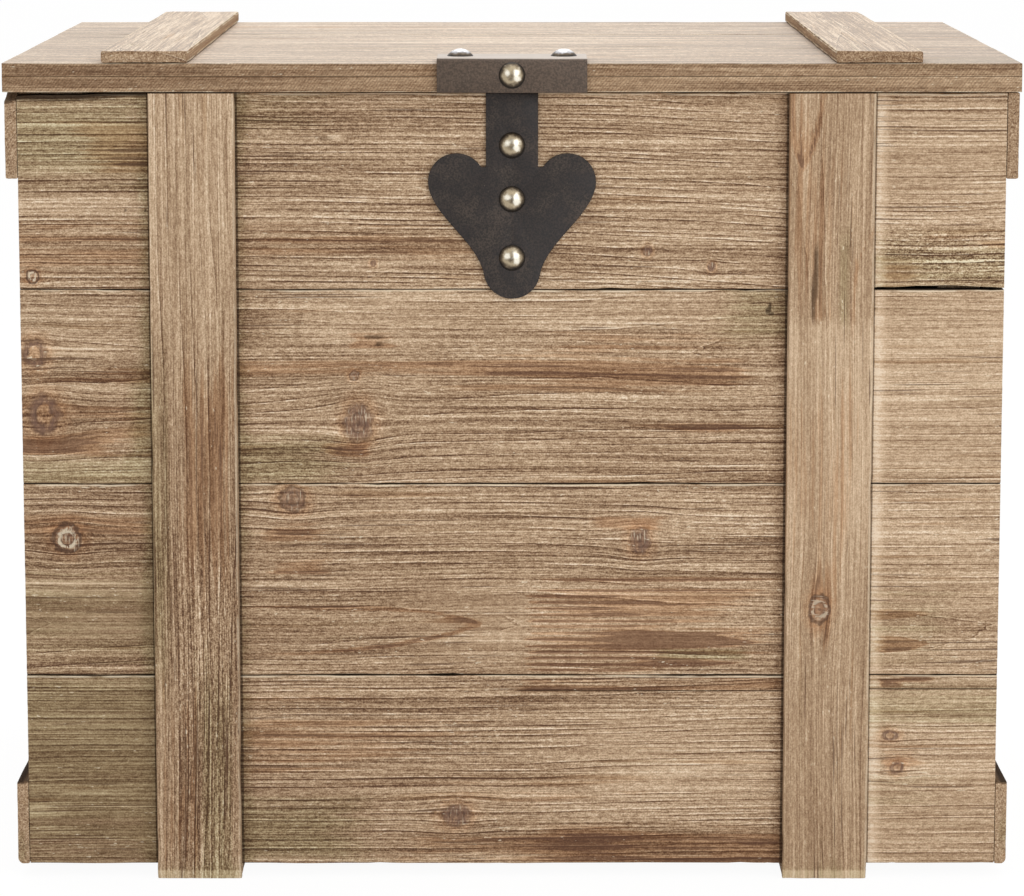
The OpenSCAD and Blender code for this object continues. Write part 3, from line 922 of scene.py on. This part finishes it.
def front_figure(seed, tone=(), dark=(), green=(), quiet=(), marks=(), **more):
    """A front board with the strips beside the battens: painted shade, partly dirt, on the inner
    side of each batten, a painted highlight right of the right batten and a painted contact shadow
    along each batten edge.
    """
    # Painted highlight right of the right batten; painted shade, partly dirt, on the inner side of
    # each batten, greener by the left one
    tone += ((BATTEN_OUTER + 0.5, BATTEN_OUTER + 6, 0, WHOLE, 0.32, 0.8, 6),
             (-BATTEN_INNER, -BATTEN_INNER + 5, 0, WHOLE, -0.1, 2, 8),
             (BATTEN_INNER - 4.5, BATTEN_INNER, 0, WHOLE, -0.16, 7, 2))
    # Painted contact shadow along each edge of the battens
    dark += tuple((edge - 0.9, edge + 0.9, 0, WHOLE, 1.6, 0.5, 0.5) for edge in BATTEN_EDGES)
    green += ((-BATTEN_OUTER - 6, -BATTEN_OUTER, 0, WHOLE, 0.7, 6, 2),
              (-BATTEN_INNER, -BATTEN_INNER + 5, 0, WHOLE, 0.6, 2, 8))
    quiet += ((BATTEN_OUTER, END, 0, WHOLE, 0.25, 4, 1),)
    marks += tuple(edge + step for edge in BATTEN_EDGES
                   for step in (-8, -5, -3, -1.4, -0.7, 0, 0.7, 1.4, 3, 5, 8))
    return Figure(seed, tone=tone, dark=dark, green=green, quiet=quiet, marks=marks, **more)


# Dark teeth that run to the right from one line across the second board
COMB = tuple((start, level, 0.5, 0.5, 4, 4, -reach, 0, 2.2) for start, level, reach in zip(
    (17, 16, *[9.5] * 13),
    (0, -6.4, -9.7, -13.2, -16.8, -20.6, -24.4, -27.4, -31.5, -35.1, -39.1, -42.9, -46.1, -49.9,
     -53),
    (130, 110, 50, 70, 50, 60, 100, 70, 120, 90, 110, 130, 70, 90, 70)))

# Tone over a whole column, left(0, 80, ...), right(0, 80, ...) and right(24, 34, ...), is painted
# light: the right columns lighter than the left, as the light falls from the right
FRONT_FIGURES = [
    front_figure(
        101, pith=(-96, 50), lean=(0.02, 0.01), ring=3.4,
        knots=((-32, -27, 7, 5.5, 0.1), (218.5, 20, 4.1, 2.7, -0.6), (223, 1, 3.6, 3.4, -0.55)),
        warm=((-160, -40, 18, 26, 0.35, 30, 60), (20, 160, -46, 12, 0.8, 40, 20),
              (-60, 60, -44, 8, 0.6, 30, 30), (5, 160, 50, 4, 0.7, 12, 20),
              (213, 224, 51, 2, 1.2, 4, 6), (226, 242, 54, 2, 1.2, 6, 6),
              (214, 236, 6, 6, 0.8, 6, 10)),
        green=(left(10, 60, 0.9, 20, 10), (-165, -95, -36, 16, 0.9, 20, 40),
               (200, 290, 36, 13, 0.6, 10, 10), (200, 250, -10, 14, 0.3, 10, 30)),
        tone=((40, 160, 10, 28, 0.1, 50, 30), left(0, 80, -0.1), (-290, -262, -24, 4, 0.2, 4, 20),
              (-290, -256, -36, 2, 0.2, 4, 20), (-262, -230, -14, 1.2, 0.2, 10, 20),
              right(0, 80, 0.1), (20, 170, -44, 10, -0.12, 30, 30)),
        dark=((5, 156, 46.7, 0.35, 1.8, 10, 4), right(47.9, 0.35, 1.8, 1, 1)),
        levels=(46.1, 46.4, 46.7, 47, 47.3, 47.6, 47.9, 48.2, 48.5),
        quiet=(left(0, 80, 0.6, 1, 4),), base=0.01),
    front_figure(
        202, pith=(-28, 40), lean=(0, 0.0195), ring=3.7,
        knots=((-125.6, 47, 6, 6, 0.55), (73.5, 22.6, 5.5, 6.5, 0.1), (-255, 24, 7, 7, 0.8)),
        warm=((9, 158, -22, 20, 0.15, 5, 30), (9, 70, -44, 12, 0.1, 5, 30),
              (34, 120, -17, 6, 0.5, 40, 40), (-140, -105, 7, 5, 0.8, 12, 16),
              (50, 84, 33, 3, 0.9, 16, 8), (-140, -112, 28, 5, 0.6, 12, 12),
              left(30, 7, 0.5, 30, 30)),
        flames=((-19, -26.4, 10, 20, 22, 55, 140, 1.3, 1.25),
                (141, -37, 9.5, 5, 45, 40, 80, 0, 1.7), (130, -49, 4, 3, 25, 20, 56, 0, 1.2),
                (241.5, -37.4, 6, 7, 16, 15, 30, 0, 1.05), (243, -20, 4, 5, 20, 20, 36, 0, 0.85),
                *COMB),
        green=((84, 134, -44, 3, 1, 14, 14), left(-20, 30, 0.5, 20, 10),
               (205, 250, -28, 18, 0.45, 10, 20)),
        tone=((9, 130, -28, 28, 0.07, 5, 60), left(0, 80, -0.07), (-50, 9, -24, 24, 0.04, 30, 2),
              right(0, 80, 0.08), (-290, -220, -2, 0.8, 0.25, 10, 20), left(-7, 4, 0.08),
              left(-50, 6, -0.08), left(22, 12, -0.06), (240, 290, -30, 8, -0.1, 20, 10)),
        quiet=((-60, 9, -26, 26, 0.5, 40, 2), left(-18, 20, 0.7, 1, 4)),
        marks=(4, 6, 7.5, 9, 10.5, 12, 14)),
    front_figure(
        303, pith=(18, 60), lean=(0.015, 0.008), ring=3.1,
        knots=((-88, -21, 6.5, 9.5, 0.2), (-90, 6.6, 2.4, 2.4, 0.6), (-272.5, 19, 6, 7, -1),
               (-267.5, -16, 7.2, 10, -1)),
        warm=((-165, 131, 12, 5, 0.6, 30, 20), (-30, 131, 5, 7, 0.55, 150, 20),
              (-92, -68, 26, 4, 0.9, 8, 12), (-106, -82, -37, 4, 1, 12, 8),
              (80, 131, -23, 4, 0.7, 60, 12), (30, 131, 26, 5, 0.6, 60, 12),
              left(6, 3.6, 0.6, 30, 4), (-290, -238, -35, 3.6, 1.15, 10, 30),
              left(-22, 16, 0.4, 20, 20)),
        green=(left(-49, 8, 0.8, 20, 4), (-218, -205, -28, 30, 0.8, 10, 2),
               (-160, -100, -44, 14, 0.8, 20, 40), (120, 165, 44, 18, 0.7, 30, 20)),
        tone=((-130, 140, 44, 14, 0.1, 40, 30), left(0, 80, -0.01), right(0, 80, 0.14),
              (60, 131, 4, 12, -0.03, 60, 20), left(6, 3.6, -0.05), left(-16, 10, -0.1),
              left(38, 14, 0.08), (-276, -226, 22, 0.9, 0.3, 10, 20),
              (-270, -234, 19, 0.8, 0.25, 10, 20), left(0.5, 1.2, 0.12, 10, 4), left(-46, 7, 0.1)),
        dark=((-84, -71, 28.5, 1, 1, 4, 3), (-78, -72, 25, 1.5, 0.9, 3, 3),
              (146, 147.4, 46.5, 1.8, 1.5, 1, 1), (144.6, 146.8, 43.6, 1.5, 1.6, 1, 1),
              (147, 149, 42.2, 0.9, 1.2, 1, 1)),
        marks=(143.6, 144.6, 145.6, 146.4, 147.2, 148, 148.8, 149.6)),
    front_figure(
        404, pith=(-110, 42), lean=(-0.01, 0.012), ring=3.3,
        knots=((-79, -41, 1.6, 1.6, 0), (77, -34, 2.2, 2.6, 0.3), (113.5, -43, 2, 2.2, 0),
               (-272.6, -49, 3.4, 3.2, 1)),
        warm=(left(-36, 18, 0.5, 20, 8), (-236, -205, 20, 12, 0.8, 30, 6),
              (-160, 30, -30, 16, 0.4, 40, 40), (265, 290, -30, 2.4, 0.9, 10, 2),
              (211, 230, -48, 7, 0.6, 4, 8), (232, 262, -27, 2.4, 0.5, 8, 10)),
        quiet=(right(-31, 10, -0.85, 4, 10), (230, 290, -46, 10, -0.85, 10, 10)),
        green=((-290, -212, 32, 24, 0.9, 14, 14), (-165, -105, 46, 12, 0.5, 14, 40),
               right(-42, 17, 0.6, 14, 14)),
        tone=((60, 160, 10, 40, 0.05, 50, 30), right(24, 34, 0.12),
              (-290, -212, 32, 24, 0.05, 14, 14), left(-8, 7, 0.08), left(-10, 60, 0.02),
              right(-42, 17, 0.05, 14, 14), (-104, -97, 31, 1.2, 0.4, 3, 3),
              (262, 290, -28, 1.6, 0.2, 10, 2), (240, 272, -33, 0.8, 0.3, 6, 6)),
        # The stains on y = 56 are painted shadow under the lid; the others are marks and brads
        dark=((-108, -101, 30, 0.6, 0.9, 3, 3), (-290, -240, 56, 3, 2.6, 4, 40),
              (-290, -206, 56, 1.4, 2.6, 4, 10), (-219.7, -218.5, -10.8, 0.8, 1.5, 0.7, 0.7),
              (-208.4, -207.2, -10.8, 0.8, 1.5, 0.7, 0.7)),
        marks=(-220.5, -219.8, -219.1, -218.4, -217.7, -209.2, -208.5, -207.8, -207.1, -206.4,
               -108, -106, -104, -102, -100, -98, -96),
        chips=((246, -1, 50, 2), (-284, 1, 84, 1.3))),
]

BATTEN_FIGURES = {
    "left": Figure(
        seed=510, pith=(-34, 60), lean=(0.01, 0.01), ring=3.4,
        warm=((-60, 60, -6, 15, 0.75, 60, 50), (-215, -110, 10, 10, 0.5, 40, 40)),
        green=((-120, 90, 22, 6, 0.6, 60, 60), (-240, -110, -10, 9, 0.7, 20, 60)),
        tone=((-235, -20, 0, 60, -0.1, 120, 10), (120, 235, 0, 60, 0.08, 80, 10),
              (-20, 70, -4, 20, -0.08, 60, 60)),
        quiet=((-40, 240, 0, 60, 0.25, 60, 1), (-240, -20, -6, 20, -0.65, 1, 60))),
    "right": Figure(
        seed=511, pith=(30, 70), lean=(-0.008, 0.01), ring=3.6,
        knots=((-68.5, 4.6, 7.5, 5, 0.7),),
        warm=((-40, 60, 6, 20, 0.5, 60, 30), (-90, -45, 4, 8, 0.5, 16, 16),
              (97, 200, 10, 13, 0.55, 5, 60)),
        flames=((186, 16.6, 6, 13, 8, 22, -80, 1.1, 1), (151, -25, 13, 3, 14, 10, 60, 0.9, 0.8)),
        dark=((112, 142, 8.6, 1.4, 0.8, 10, 10), (98, 122, 10.4, 1.6, 0.7, 6, 10)),
        green=((95, 150, -7, 3, 0.6, 10, 20),),
        tone=((-50, 96, 0, 60, 0.1, 60, 4),),
        quiet=((-240, 240, 0, 60, 0.55, 1, 1),)),
}


def plain_figure(seed, half_length, half_width, knots=1, stained=1.0):
    """A made-up figure for a board that the front doesn't show."""
    draw = np.random.default_rng(seed)
    places = []
    for _ in range(int(draw.integers(0, knots + 1))):
        radius = draw.uniform(2.5, 6.5)
        places.append((draw.uniform(-0.8, 0.8) * half_length,
                       draw.uniform(-0.65, 0.65) * half_width, radius * 1.15, radius,
                       draw.uniform(0, 1)))
    start = draw.uniform(-1, 0.4) * half_length
    warm = ((start, start + draw.uniform(0.4, 0.9) * half_length,
             draw.uniform(-0.8, 0.8) * half_width, 0.25 * half_width,
             stained * draw.uniform(0.3, 0.8), 30, 30),)
    corner = draw.choice((-1, 1)) * half_length
    green = ((corner - 0.3 * half_length, corner + 0.3 * half_length,
              draw.uniform(-0.9, 0.9) * half_width, 0.4 * half_width,
              stained * draw.uniform(0.3, 0.9), 30, 30),)
    return Figure(seed, pith=(draw.uniform(-1.4, 1.4) * half_width, draw.uniform(35, 90)),
                  lean=(draw.uniform(-0.02, 0.02), draw.uniform(-0.02, 0.02)),
                  ring=draw.uniform(3.6, 5.2), knots=tuple(places), warm=warm, green=green,
                  base=draw.uniform(-0.06, 0.06))


def plain_board(node, seed, grain, out, slot, knots=1, stained=1.0, traits=None, **more):
    """A board whose figure is made up from a seed, except for the traits that are given."""
    low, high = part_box(node)
    half = (high - low) / MM / 2
    half_width = abs(half.dot(Vector(out).cross(Vector(grain))))
    figure = plain_figure(seed, abs(half.dot(Vector(grain))), half_width, knots, stained)
    return board(node, replace(figure, **(traits or {})), grain, out, slot, **more)


# Housings that the hinges are let into

LEAF_T = 1.5 * MM
LEAF_GAP = 0.2 * MM
LEAF_CLEAR = 0.2 * MM
SWING_CLEAR = 0.3 * MM
PAST = 20 * MM  # Well beyond the wood
PIN = Vector(frame["joints"][0]["pos_m"])


def hinge_cuts(leaf_name, up):
    """The two boxes cut for each leaf, for the plate and for the knuckles."""
    cuts = []
    for side in SIDES:
        low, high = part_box(f"hinge_{side}_{leaf_name}")
        radius = high.y - PIN.y
        for start_y, depth in ((low.y - LEAF_CLEAR, LEAF_GAP / 2 + LEAF_T),
                               (PIN.y - radius - SWING_CLEAR, radius + SWING_CLEAR)):
            cuts.append(((low.x - LEAF_CLEAR, start_y, PIN.z + up * depth),
                         (high.x + LEAF_CLEAR, high.y + PAST, PIN.z - up * PAST)))
    return cuts


# Metal pieces

SAME_PLACE = 0.002 * MM
NAIL_RISE = 4.2 * MM


def solid_form(node):
    """A node's own shape with its doubled corners joined."""
    form = bmesh.new()
    form.from_mesh(frame["nodes"][node].data)
    bmesh.ops.remove_doubles(form, verts=form.verts, dist=SAME_PLACE)
    return form


def mesh_from(form, name):
    """A smooth mesh of a form, which is used up."""
    mesh = bpy.data.meshes.new(name)
    form.to_mesh(mesh)
    form.free()
    mesh.shade_smooth()
    return mesh


def softened(node, suffix, bevel, slot, look=None):
    """A node's own shape with its sharp edges broken."""
    form = solid_form(node)
    bmesh.ops.dissolve_limit(form, angle_limit=math.radians(1), verts=form.verts,
                             edges=form.edges)
    piece = add_piece(node, suffix, mesh_from(form, node + suffix), look or slot)
    edge = piece.modifiers.new("Broken edge", "BEVEL")
    edge.width = bevel
    edge.segments = 2
    edge.limit_method = "ANGLE"
    edge.angle_limit = math.radians(40)
    edge.harden_normals = True


def dome(radius, rise, seed):
    """A hammered dome nail's head on z = 0, in mm: points, faces, heights lowered on the lower
    side as painted shade, and painted highlights on three spots.
    """
    rings, spokes = 14, 48
    highlight_places, highlight_size, dent_size = ((-0.36, 0.2), (0.34, 0.26), (0.36, -0.2)), 0.07, 2.6
    ball = (radius * radius + rise * rise) / (2 * rise)
    out, angle = np.meshgrid(radius * (np.arange(1, rings + 1) / rings),
                             2 * math.pi * np.arange(spokes) / spokes, indexing="ij")
    up = np.sqrt(ball * ball - out * out) - (ball - rise)
    points = np.stack([out * np.cos(angle), out * np.sin(angle), up], -1).reshape(-1, 3)
    points = np.vstack([(0.0, 0.0, rise), points])
    x, y = points[:, :2].T / radius
    height = points[:, 2] / rise
    painted_highlights = sum(np.exp(-((x - at_x) ** 2 + (y - at_y) ** 2) / highlight_size)
                 for at_x, at_y in highlight_places)
    dent = 0.14 * (1 + ripple(seed, *points[:, :2].T / dent_size))
    points[:, 2] -= dent * np.clip(height, 0, 1) ** 0.5
    pairs = [(spoke, (spoke + 1) % spokes) for spoke in range(spokes)]
    faces = [(0, 1 + a, 1 + b) for a, b in pairs]
    faces += [(first + a, first + spokes + a, first + spokes + b, first + b)
              for first in range(1, 1 + (rings - 1) * spokes, spokes) for a, b in pairs]
    # The heights drop on the lower side of the head: painted shade
    return points, faces, height - 0.3 * np.maximum(-y - 0.1, 0), painted_highlights


def loose_parts(node):
    """The boxes of a node's separate solids, in metres."""
    form = solid_form(node)
    waiting = set(form.verts)
    boxes = []
    while waiting:
        group, edge = set(), [next(iter(waiting))]
        while edge:
            vert = edge.pop()
            if vert not in group:
                group.add(vert)
                edge.extend(e.other_vert(vert) for e in vert.link_edges)
        waiting -= group
        places = np.array([v.co for v in group])
        boxes.append((Vector(places.min(0)), Vector(places.max(0))))
    form.free()
    return sorted(boxes, key=lambda box: tuple(round(v, 4) for v in box[0]))


def dome_nails(node, slot):
    """Every dome nail of one node as one piece."""
    form = bmesh.new()
    looks = []
    for number, (low, high) in enumerate(loose_parts(node)):
        size = high - low
        out = max(range(3), key=lambda axis: size[axis])
        on_top = out == 2
        radius = min(size[axis] for axis in range(3) if axis != out) / 2
        base = (low + high) / 2
        base[out] = high.z - NAIL_RISE if on_top else low.y + NAIL_RISE
        facing = Vector(UPWARD if on_top else FRONTWARD)
        turn = facing.to_track_quat("Z", "Y").to_matrix()
        points, faces, crown_and_shade, painted_highlights = dome(radius / MM, NAIL_RISE / MM, 70 + 7 * number)
        verts = [form.verts.new(base + turn @ (Vector(p) * MM)) for p in points]
        for face in faces:
            form.faces.new([verts[i] for i in face])
        # The second value marks the nails that face up, for their painted sheen
        looks.append((crown_and_shade, np.full(len(points), float(on_top)), painted_highlights))
    bmesh.ops.recalc_face_normals(form, faces=form.faces)
    mesh = mesh_from(form, node + "_heads")
    store(mesh, "crown_and_shade", *np.hstack(looks))
    add_piece(node, "_heads", mesh, slot)


# Operators

class BuildFront(bpy.types.Operator):
    """Front wall with its battens"""

    bl_idname = "trunk.front"
    bl_label = "Front wall"

    def execute(self, context):
        for row, figure in zip(ROWS, FRONT_FIGURES):
            board(f"front_board_{row}", figure, ALONG_X, FRONTWARD, "wall_pine",
                  joints=joints_of(row, ROWS), step=0.8 if row <= 2 else None)
        for side, figure in BATTEN_FIGURES.items():
            low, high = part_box(f"front_batten_{side}")
            foot = (low.z - high.z) / 2 / MM
            figure = replace(
                figure, tone=(*figure.tone, (foot, foot + 5, 0, 60, 0.26, 1, 1.5)),
                green=(*figure.green, (foot, foot + 7, 0, 60, 0.5, 1, 6)),
                marks=tuple(foot + step for step in (3, 4.2, 4.8, 5.4, 6.0, 6.6, 7.4)))
            # The battens' right edges keep their pale wear as a painted highlight; the left edges,
            # turned from the light, get none
            board(f"front_batten_{side}", figure, ALONG_Z, FRONTWARD, "batten_pine", shaded=1)
        return {"FINISHED"}


class BuildBack(bpy.types.Operator):
    """Back wall with its battens"""

    bl_idname = "trunk.back"
    bl_label = "Back wall"

    def execute(self, context):
        for row in ROWS:
            cuts = hinge_cuts("box_leaf", -1) if row == ROWS[-1] else ()
            plain_board(f"back_board_{row}", 600 + row, ALONG_X, BACKWARD, "wall_pine", knots=3,
                        cuts=cuts, joints=joints_of(row, ROWS, -1), **COARSE)
        for number, side in enumerate(SIDES):
            plain_board(f"back_batten_{side}", 620 + number, ALONG_Z, BACKWARD, "batten_pine",
                        step=2.0)
        return {"FINISHED"}


class BuildSides(bpy.types.Operator):
    """Side walls with their cleats"""

    bl_idname = "trunk.sides"
    bl_label = "Side walls"

    def execute(self, context):
        for side, sign in SIDES.items():
            seed = 700 + 20 * (sign + 1)
            out = (sign, 0, 0)
            for row in ROWS:
                plain_board(f"{side}_board_{row}", seed + row, (0, sign, 0), out, "wall_pine",
                            knots=2, joints=joints_of(row, ROWS), **COARSE)
            # top: the left top cleat's chipped corner, darkened partly as dirt and partly as
            # painted shadow
            top = {"chips": ((200.0, 1, 9, 4.0),), "dark": ((188, 212, 24.5, 4, 1.4, 4, 4),)}
            # foot: the bottom cleats darker along their top edge
            foot = {"dark": ((-220, 220, 25.3, 1.5, 2.6, 1, 1),),
                    "tone": ((-220, 220, 25.3, 1.5, -0.3, 1, 1),)}
            for number, (level, traits) in enumerate((("top", top if sign < 0 else {}),
                                                      ("bottom", foot))):
                plain_board(f"{side}_{level}_cleat", seed + 10 + number, (0, sign, 0), out,
                            "batten_pine", step=1.8, rounded=3.5 * number, traits=traits)
        return {"FINISHED"}


class BuildInside(bpy.types.Operator):
    """Corner posts, floor boards and the runners below them"""

    bl_idname = "trunk.inside"
    bl_label = "Posts, floor and runners"

    def execute(self, context):
        for number, side in enumerate(SIDES):
            for turn, wall in enumerate(("front", "back")):
                plain_board(f"post_{wall}_{side}", 800 + 2 * number + turn, ALONG_Z, FRONTWARD,
                            "inner_pine", step=4.0, along=12.0)
            plain_board(f"runner_{side}", 820 + number, ALONG_Y, DOWNWARD, "wall_pine",
                        **COARSER)
        for row in ACROSS:
            plain_board(f"floor_board_{row}", 830 + row, ALONG_X, UPWARD, "inner_pine", knots=2,
                        step=2.6, along=11.0, joints=joints_of(row, ACROSS))
        return {"FINISHED"}


class BuildLid(bpy.types.Operator):
    """Lid boards, the rails below them and the battens on them"""

    bl_idname = "trunk.lid"
    bl_label = "Lid"

    def execute(self, context):
        thin = {"arris": 0.4, "rough": 0.2, "stained": 0.3}
        # ends: the top darker towards its ends, most on the right, as painted shade that evens out
        # the front lamp; edge: the front edge lighter to the right, as painted light from the
        # right
        ends = ((-END, -200, 0, 200, -0.08, 1, 40), (100, END, 0, 200, -0.22, 160, 1))
        for row in ACROSS:
            edge = ((40, END, -70, 0.8, 0.19, 120, 1),) if row == 1 else ()
            plain_board(f"lid_board_{row}", 900 + row, ALONG_X, UPWARD, "lid_pine", knots=0,
                        tight=((-1, -1), (1, -1)), traits={"tone": ends + edge}, **thin)
        # The front rail lighter to the right: painted light from the right
        plain_board("lid_rail_front", 911, ALONG_X, UPWARD, "lid_pine", step=2.2, knots=0,
                    tight=((-1, 1), (1, 1)), traits={"tone": ((40, END, 0, 60, 0.1, 120, 1),)},
                    **thin)
        plain_board("lid_rail_back", 912, ALONG_X, UPWARD, "lid_pine", step=2.2,
                    cuts=hinge_cuts("lid_leaf", 1), **thin)
        for number, side in enumerate(SIDES):
            plain_board(f"lid_rail_{side}", 913 + number, ALONG_Y, UPWARD, "lid_pine", step=2.2,
                        **thin)
            plain_board(f"lid_batten_{side}", 920 + number, ALONG_Y, UPWARD, "batten_pine",
                        look="pale_batten", knots=0, stained=0.2, rough=0.4)
        return {"FINISHED"}


class BuildPlates(bpy.types.Operator):
    """Iron plates and their dome nails"""

    bl_idname = "trunk.plates"
    bl_label = "Iron plates and nails"

    def execute(self, context):
        bevel = context.scene.trunk_sizes.plate_bevel
        softened("lid_bracket", "_iron", bevel, "blackened_iron", "bent_iron")
        softened("spade_plate", "_iron", bevel, "blackened_iron")
        dome_nails("lid_bracket_nails", "aged_brass")
        dome_nails("spade_nails", "aged_brass")
        return {"FINISHED"}


class BuildHinges(bpy.types.Operator):
    """Hinge leaves, pins and screws"""

    bl_idname = "trunk.hinges"
    bl_label = "Hinges"

    def execute(self, context):
        nodes = [f"hinge_{side}_{part}" for side in SIDES
                 for part in ("box_leaf", "lid_leaf", "pin")]
        for node in (*nodes, "hinge_box_screws", "hinge_lid_screws"):
            softened(node, "_steel", context.scene.trunk_sizes.hinge_bevel, "hinge_steel")
        return {"FINISHED"}


class BuildStudio(bpy.types.Operator):
    """Floor, lamps, world and camera"""

    bl_idname = "trunk.studio"
    bl_label = "Studio"

    def execute(self, context):
        studio = context.scene.trunk_studio
        studio_floor()
        studio_world(studio.sky)
        lamp("Top lamp", (0.0, 0.35, 2.1), (0.0, 0.0, 0.45), 2.2, studio.top)
        lamp("Front lamp", (1.3, -2.2, 1.3), (0.0, 0.0, 0.2), 2.4, studio.front)
        data = bpy.data.cameras.new("Camera")
        data.lens = studio.lens
        data.shift_y = studio.shift
        data.clip_end = 50.0
        camera = placed("Camera", data, (0.0, -studio.distance, studio.height))
        camera.rotation_euler = (math.pi / 2 - studio.pitch, 0.0, 0.0)
        context.scene.camera = camera
        context.scene.view_settings.view_transform = "Standard"
        return {"FINISHED"}


def joints_of(row, rows, up=1):
    """Which long edges of a wall's board meet another board, as signs of local Y."""
    return tuple(side for side in (-1, 1) if row + side * up in rows)


def placed(name, data, location):
    """A thing of the studio, linked in its place."""
    thing = bpy.data.objects.new(name, data)
    bpy.context.scene.collection.objects.link(thing)
    thing.location = location
    return thing


def split(wire, output, lit, plain, share=1.0):
    """Shows the plain shader to the eye, gloss and glass, and lights the object with the other."""
    path = wire.node("ShaderNodeLightPath")
    seen = wire.math("MAXIMUM", path["Is Camera Ray"], path["Is Glossy Ray"])
    seen = wire.math("MAXIMUM", seen, path["Is Transmission Ray"]) * share
    wire.feed(wire.tree.nodes[output].inputs["Surface"],
              wire.put("ShaderNodeMixShader", (seen, lit, plain)))


def studio_floor():
    """A plain pale floor that keeps the trunk's shadow and fades to white."""
    form = bmesh.new()
    bmesh.ops.create_circle(form, cap_ends=True, radius=14.0, segments=96)
    mesh = mesh_from(form, "Floor")
    material, wire = new_material("Floor")
    wire.surface({"Base Color": bpy.context.scene.trunk_colours.floor, "Roughness": 0.9})
    lit = Value(wire, wire.tree.nodes["Principled BSDF"].outputs[0])
    split(wire, "Material Output", lit,
          wire.put("ShaderNodeEmission", {"Strength": 1.03}), share=0.92)
    mesh.materials.append(material)
    floor = placed("Floor", mesh, (0.0, 0.0, -0.5 * MM))


def studio_world(strength):
    """An even pale light, seen as white."""
    world = bpy.data.worlds.new("Studio")
    world.use_nodes = True
    bpy.context.scene.world = world
    wire = Wiring(world.node_tree)
    light = world.node_tree.nodes["Background"]
    wire.feed(light.inputs["Color"], (1.0, 0.985, 0.965))
    wire.feed(light.inputs["Strength"], strength)
    split(wire, "World Output", Value(wire, light.outputs[0]),
          wire.put("ShaderNodeBackground", {"Color": (1.0, 1.0, 1.0)}))


def lamp(name, place, target, size, power):
    """A soft square lamp that looks at a point."""
    data = bpy.data.lights.new(name, "AREA")
    data.size = size
    data.energy = power
    turn = (Vector(target) - Vector(place)).to_track_quat("-Z", "Y")
    placed(name, data, place).rotation_euler = turn.to_euler()


STEPS = (BuildStudio, BuildFront, BuildBack, BuildSides, BuildInside, BuildLid, BuildPlates,
         BuildHinges)
SETTINGS = {"trunk_sizes": TrunkSizes, "trunk_colours": TrunkColours,
            "trunk_studio": TrunkStudio}


class TrunkPanel(bpy.types.Panel):
    """Lists the trunk's pieces and their settings"""

    bl_idname = "VIEW3D_PT_trunk"
    bl_label = "Trunk"
    bl_space_type = "VIEW_3D"
    bl_region_type = "UI"
    bl_category = "Trunk"

    def draw(self, context):
        for step in STEPS:
            self.layout.operator(step.bl_idname)
        for kind, settings in SETTINGS.items():
            column = self.layout.column()
            for name in settings.__annotations__:
                column.prop(getattr(context.scene, kind), name)


CLASSES = (*SETTINGS.values(), *STEPS, TrunkPanel)


def register():
    for item in CLASSES:
        bpy.utils.register_class(item)
    for name, settings in SETTINGS.items():
        setattr(bpy.types.Scene, name, PointerProperty(type=settings))


def unregister():
    for name in SETTINGS:
        delattr(bpy.types.Scene, name)
    for item in reversed(CLASSES):
        bpy.utils.unregister_class(item)


def main():
    register()
    for make_group in (fibre_group, rings_group, knot_group, stain_group, edge_group,
                       flecks_group, saw_group, pitting_group):
        make_group()
    bpy.ops.trunk.studio()
    bpy.ops.trunk.front()
    bpy.ops.trunk.back()
    bpy.ops.trunk.sides()
    bpy.ops.trunk.inside()
    bpy.ops.trunk.lid()
    bpy.ops.trunk.plates()
    bpy.ops.trunk.hinges()


if __name__ == "__main__":
    main()
